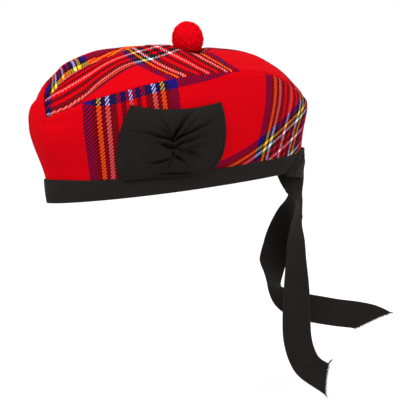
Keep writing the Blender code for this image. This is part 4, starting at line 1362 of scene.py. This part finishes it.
# How narrow the strip of edge is that stands out, and after how many of its lengths a droop ends
STAND_OUT_SHARP = 12
DROOP_MOST = 1.5
FRAY_LENGTH = 0.0026
FRAY_WIDTH = 0.00015
FRAY_THREADS = 260
FRAY_LEAN = 0.9
TUFT_LEAN = 0.16
TUFT_HALF_WIDTH = 0.0005
TUFT_HALF_DEPTH = 0.0003
# Tufts: the tail, the piece's name, the corner of the cut end, the way out of it along the tape's width
# and along its length, how many threads and how long
TUFTS = (
    ("tail_long", "tail_long_upper_tuft", 0, 1.0, 0.15, 24, 0.0062),
    ("tail_long", "tail_long_lower_tuft", -1, -0.10, 1.0, 18, 0.0040),
    ("tail_curled", "tail_curled_tuft", 0, -0.15, 1.0, 16, 0.0036),
)


def tail(name, rows, skin, end_round, stand_out, droop, creases):
    """A strip of tape along the table's rows, slightly cupped and uneven.

    Returns it, its length, both edges of its cut end, and the ways along and across it there.
    """
    down_shares = steps(TAIL_STEPS)
    x, z, depth, slant, turn, cut = row_at(rows, down_shares)
    slant, turn, cut = np.radians(slant)[:, None], np.radians(turn)[:, None], cut[:, None]
    aside = np.array([math.cos(TAIL_FACING), -math.sin(TAIL_FACING), 0.0])
    away = np.array([math.sin(TAIL_FACING), math.cos(TAIL_FACING), 0.0])
    middles = np.array([RIM_BACK + TAIL_BEHIND_RIM, 0.0, 0.0]) + TAPE_WIDTH * np.stack([x, depth, z], -1)
    widths = np.cos(turn) * (np.cos(slant) * aside + np.sin(slant) * UP) + np.sin(turn) * away
    ahead = unit(np.gradient(middles, axis=0))
    half = (widths + ahead * cut) * TAPE_WIDTH / 2
    normals = unit(np.cross(widths, ahead))[:, None]
    shares = np.linspace(1.0, -1.0, TAIL_WIDTH_STEPS + 1)
    inner_share = (1 - shares**2)[None, :, None]
    strip = middles[:, None] + half[:, None] * shares[None, :, None]
    near_end = within((down_shares - TAIL_END_FROM) / (1 - TAIL_END_FROM))[:, None, None]
    strip = strip + ahead[:, None] * near_end * end_round * inner_share
    height, size, spread = stand_out
    further = size * hill(middles[:, 2:] - height, spread) * np.maximum(shares, 0.0) ** STAND_OUT_SHARP
    strip = strip + widths[:, None] * further[..., None]
    strip = strip + normals * (TAIL_CUP * inner_share + swells(strip, TAIL_SWELLS)[..., None] * MM)
    start, reach, fall = droop
    strip[..., 2] -= fall * np.clip((strip[..., 0] - start) / reach, 0.0, DROOP_MOST) ** 2
    down = climb(middles[:, None], 0)
    beside = shares * TAPE_WIDTH / MM / 2
    cloth = np.stack([down + cut * beside, beside + 0 * down], -1)
    for line in creases:
        furrow, ridge = fold_relief(cloth, *line)
        strip = strip - normals * (furrow - ridge)[..., None] * MM
    front, back = strip + normals * TAIL_TAPE_THICKNESS / 2, strip - normals * TAIL_TAPE_THICKNESS / 2
    made = slab(name, front, back, skin, cloth)
    return made, float(down[-1, 0]) * MM, front[-1], back[-1], ahead[-1], widths[-1]


def frays(name, quads, ahead, count, length, lean):
    """Loose threads that stand out ahead of a row of small quads."""
    mesh = bpy.data.meshes.new(name)
    points = quads.reshape(-1, 3)
    mesh.from_pydata(points.tolist(), [], np.arange(len(points)).reshape(-1, 4).tolist())
    mesh.update()
    if mesh.polygons[0].normal.dot(Vector(ahead)) < 0:
        mesh.flip_normals()
    base = shown(name + "_base", mesh)
    area = sum(face.area for face in mesh.polygons)
    made = grown(base, hairs, name, Hair_length=length, Hair_width=FRAY_WIDTH, Lean=lean,
                 Hairs_per_square_metre=count / area, Wool=black_thread)
    bpy.data.objects.remove(base, do_unlink=True)
    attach(made, "root")


def tuft(name, corner, way, through, count, length):
    """Selvedge threads that have come loose at a corner and stick out in a point."""
    way = unit(way)
    beside = unit(np.cross(way, through)) * TUFT_HALF_WIDTH
    deep = unit(np.cross(beside, way)) * TUFT_HALF_DEPTH
    quad = np.array([corner - beside - deep, corner + beside - deep, corner + beside + deep,
                     corner - beside + deep])
    frays(name, quad, way, count, length, TUFT_LEAN)


tail_tape = tape("tail_tape", TAPE_COLOUR, TAPE_RIB, TAPE_WIDTH / MM / 2 - TAIL_SELVEDGE)
for node, rows, *shape in TAIL_SHAPES:
    strip, length, outer, inner, ahead, aside = tail(node + "_tape", rows, tail_tape, *shape)
    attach(strip, "root")
    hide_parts(node)
    cut_face = np.stack([outer[:-1], outer[1:], inner[1:], inner[:-1]], 1)
    frays(node + "_fray", cut_face, ahead, FRAY_THREADS, FRAY_LENGTH, FRAY_LEAN)
    through = outer[0] - inner[0]
    for of_tail, name, corner, out_aside, out_ahead, count, thread_length in TUFTS:
        if of_tail == node:
            tuft(name, outer[corner] - through / 2, out_aside * aside + out_ahead * ahead, through,
                 count, thread_length)


# ---- Floor, light and camera
# A plain pale floor below the tails, an even bright sky that is brighter overhead, one soft lamp high
# on the left and a weaker one low on the right. The camera stands where the photo was taken from.

FLOOR_SIZE = 8.0
FLOOR_DROP = 0.010
FLOOR_LOOK = {"Base Color": (0.68, 0.68, 0.68, 1.0), "Roughness": 0.9, "Specular IOR Level": 0.1}
SKY_OVERHEAD = 0.75
LAMPS = (("high_softbox", (-1.0, -0.7, 1.6), 30.0), ("low_softbox", (0.9, -1.5, 0.6), 12.0))
LAMP_SIZE = 0.9
LAMPS_AIM = Vector((0.0, 0.0, 0.03))
CAMERA_PLACE = Vector((-0.44886, -1.23298, 0.13294))
CAMERA_AZIMUTH, CAMERA_ELEVATION, CAMERA_ROLL = (math.radians(value) for value in (21.136, 6.4747, 5.948))
CAMERA_LENS = 130.6
CAMERA_SENSOR = 36.0

bpy.ops.mesh.primitive_plane_add(size=FLOOR_SIZE, location=(0.0, 0.0, cad_box[0][2] - FLOOR_DROP))
floor = bpy.context.object
floor.name = "floor"
pale = bpy.data.materials.new("pale_floor")
pale.use_nodes = True
for label, value in FLOOR_LOOK.items():
    pale.node_tree.nodes["Principled BSDF"].inputs[label].default_value = value
floor.data.materials.append(pale)

world = bpy.data.worlds.new("studio")
bpy.context.scene.world = world
world.use_nodes = True
sky = world.node_tree
way = add(sky, "ShaderNodeSeparateXYZ", {0: sky.nodes.new("ShaderNodeTexCoord").outputs["Generated"]})
above = calc(sky, "MAXIMUM", way.outputs["Z"], 0.0)
background = sky.nodes["Background"]
background.inputs["Color"].default_value = (1.0, 1.0, 1.0, 1.0)
sky.links.new(calc(sky, "MULTIPLY_ADD", above, SKY_OVERHEAD, 1.0), background.inputs["Strength"])

for name, place, power in LAMPS:
    soft = bpy.data.lights.new(name, "AREA")
    soft.shape = "RECTANGLE"
    soft.size = soft.size_y = LAMP_SIZE
    soft.energy = power
    softbox = shown(name, soft)
    softbox.location = place
    softbox.rotation_euler = (LAMPS_AIM - softbox.location).to_track_quat("-Z", "Y").to_euler()

aim = Vector((math.sin(CAMERA_AZIMUTH) * math.cos(CAMERA_ELEVATION),
              math.cos(CAMERA_AZIMUTH) * math.cos(CAMERA_ELEVATION), -math.sin(CAMERA_ELEVATION)))
level = Vector((math.cos(CAMERA_AZIMUTH), -math.sin(CAMERA_AZIMUTH), 0.0))
upright = level.cross(aim)
right = level * math.cos(CAMERA_ROLL) - upright * math.sin(CAMERA_ROLL)
above = level * math.sin(CAMERA_ROLL) + upright * math.cos(CAMERA_ROLL)
lens = bpy.data.cameras.new("camera")
lens.lens = CAMERA_LENS
lens.sensor_width = CAMERA_SENSOR
camera = shown("camera", lens)
camera.matrix_world = Matrix.Translation(CAMERA_PLACE) @ Matrix((right, above, -aim)).transposed().to_4x4()
bpy.context.scene.camera = camera
bpy.context.scene.view_settings.view_transform = "Standard"
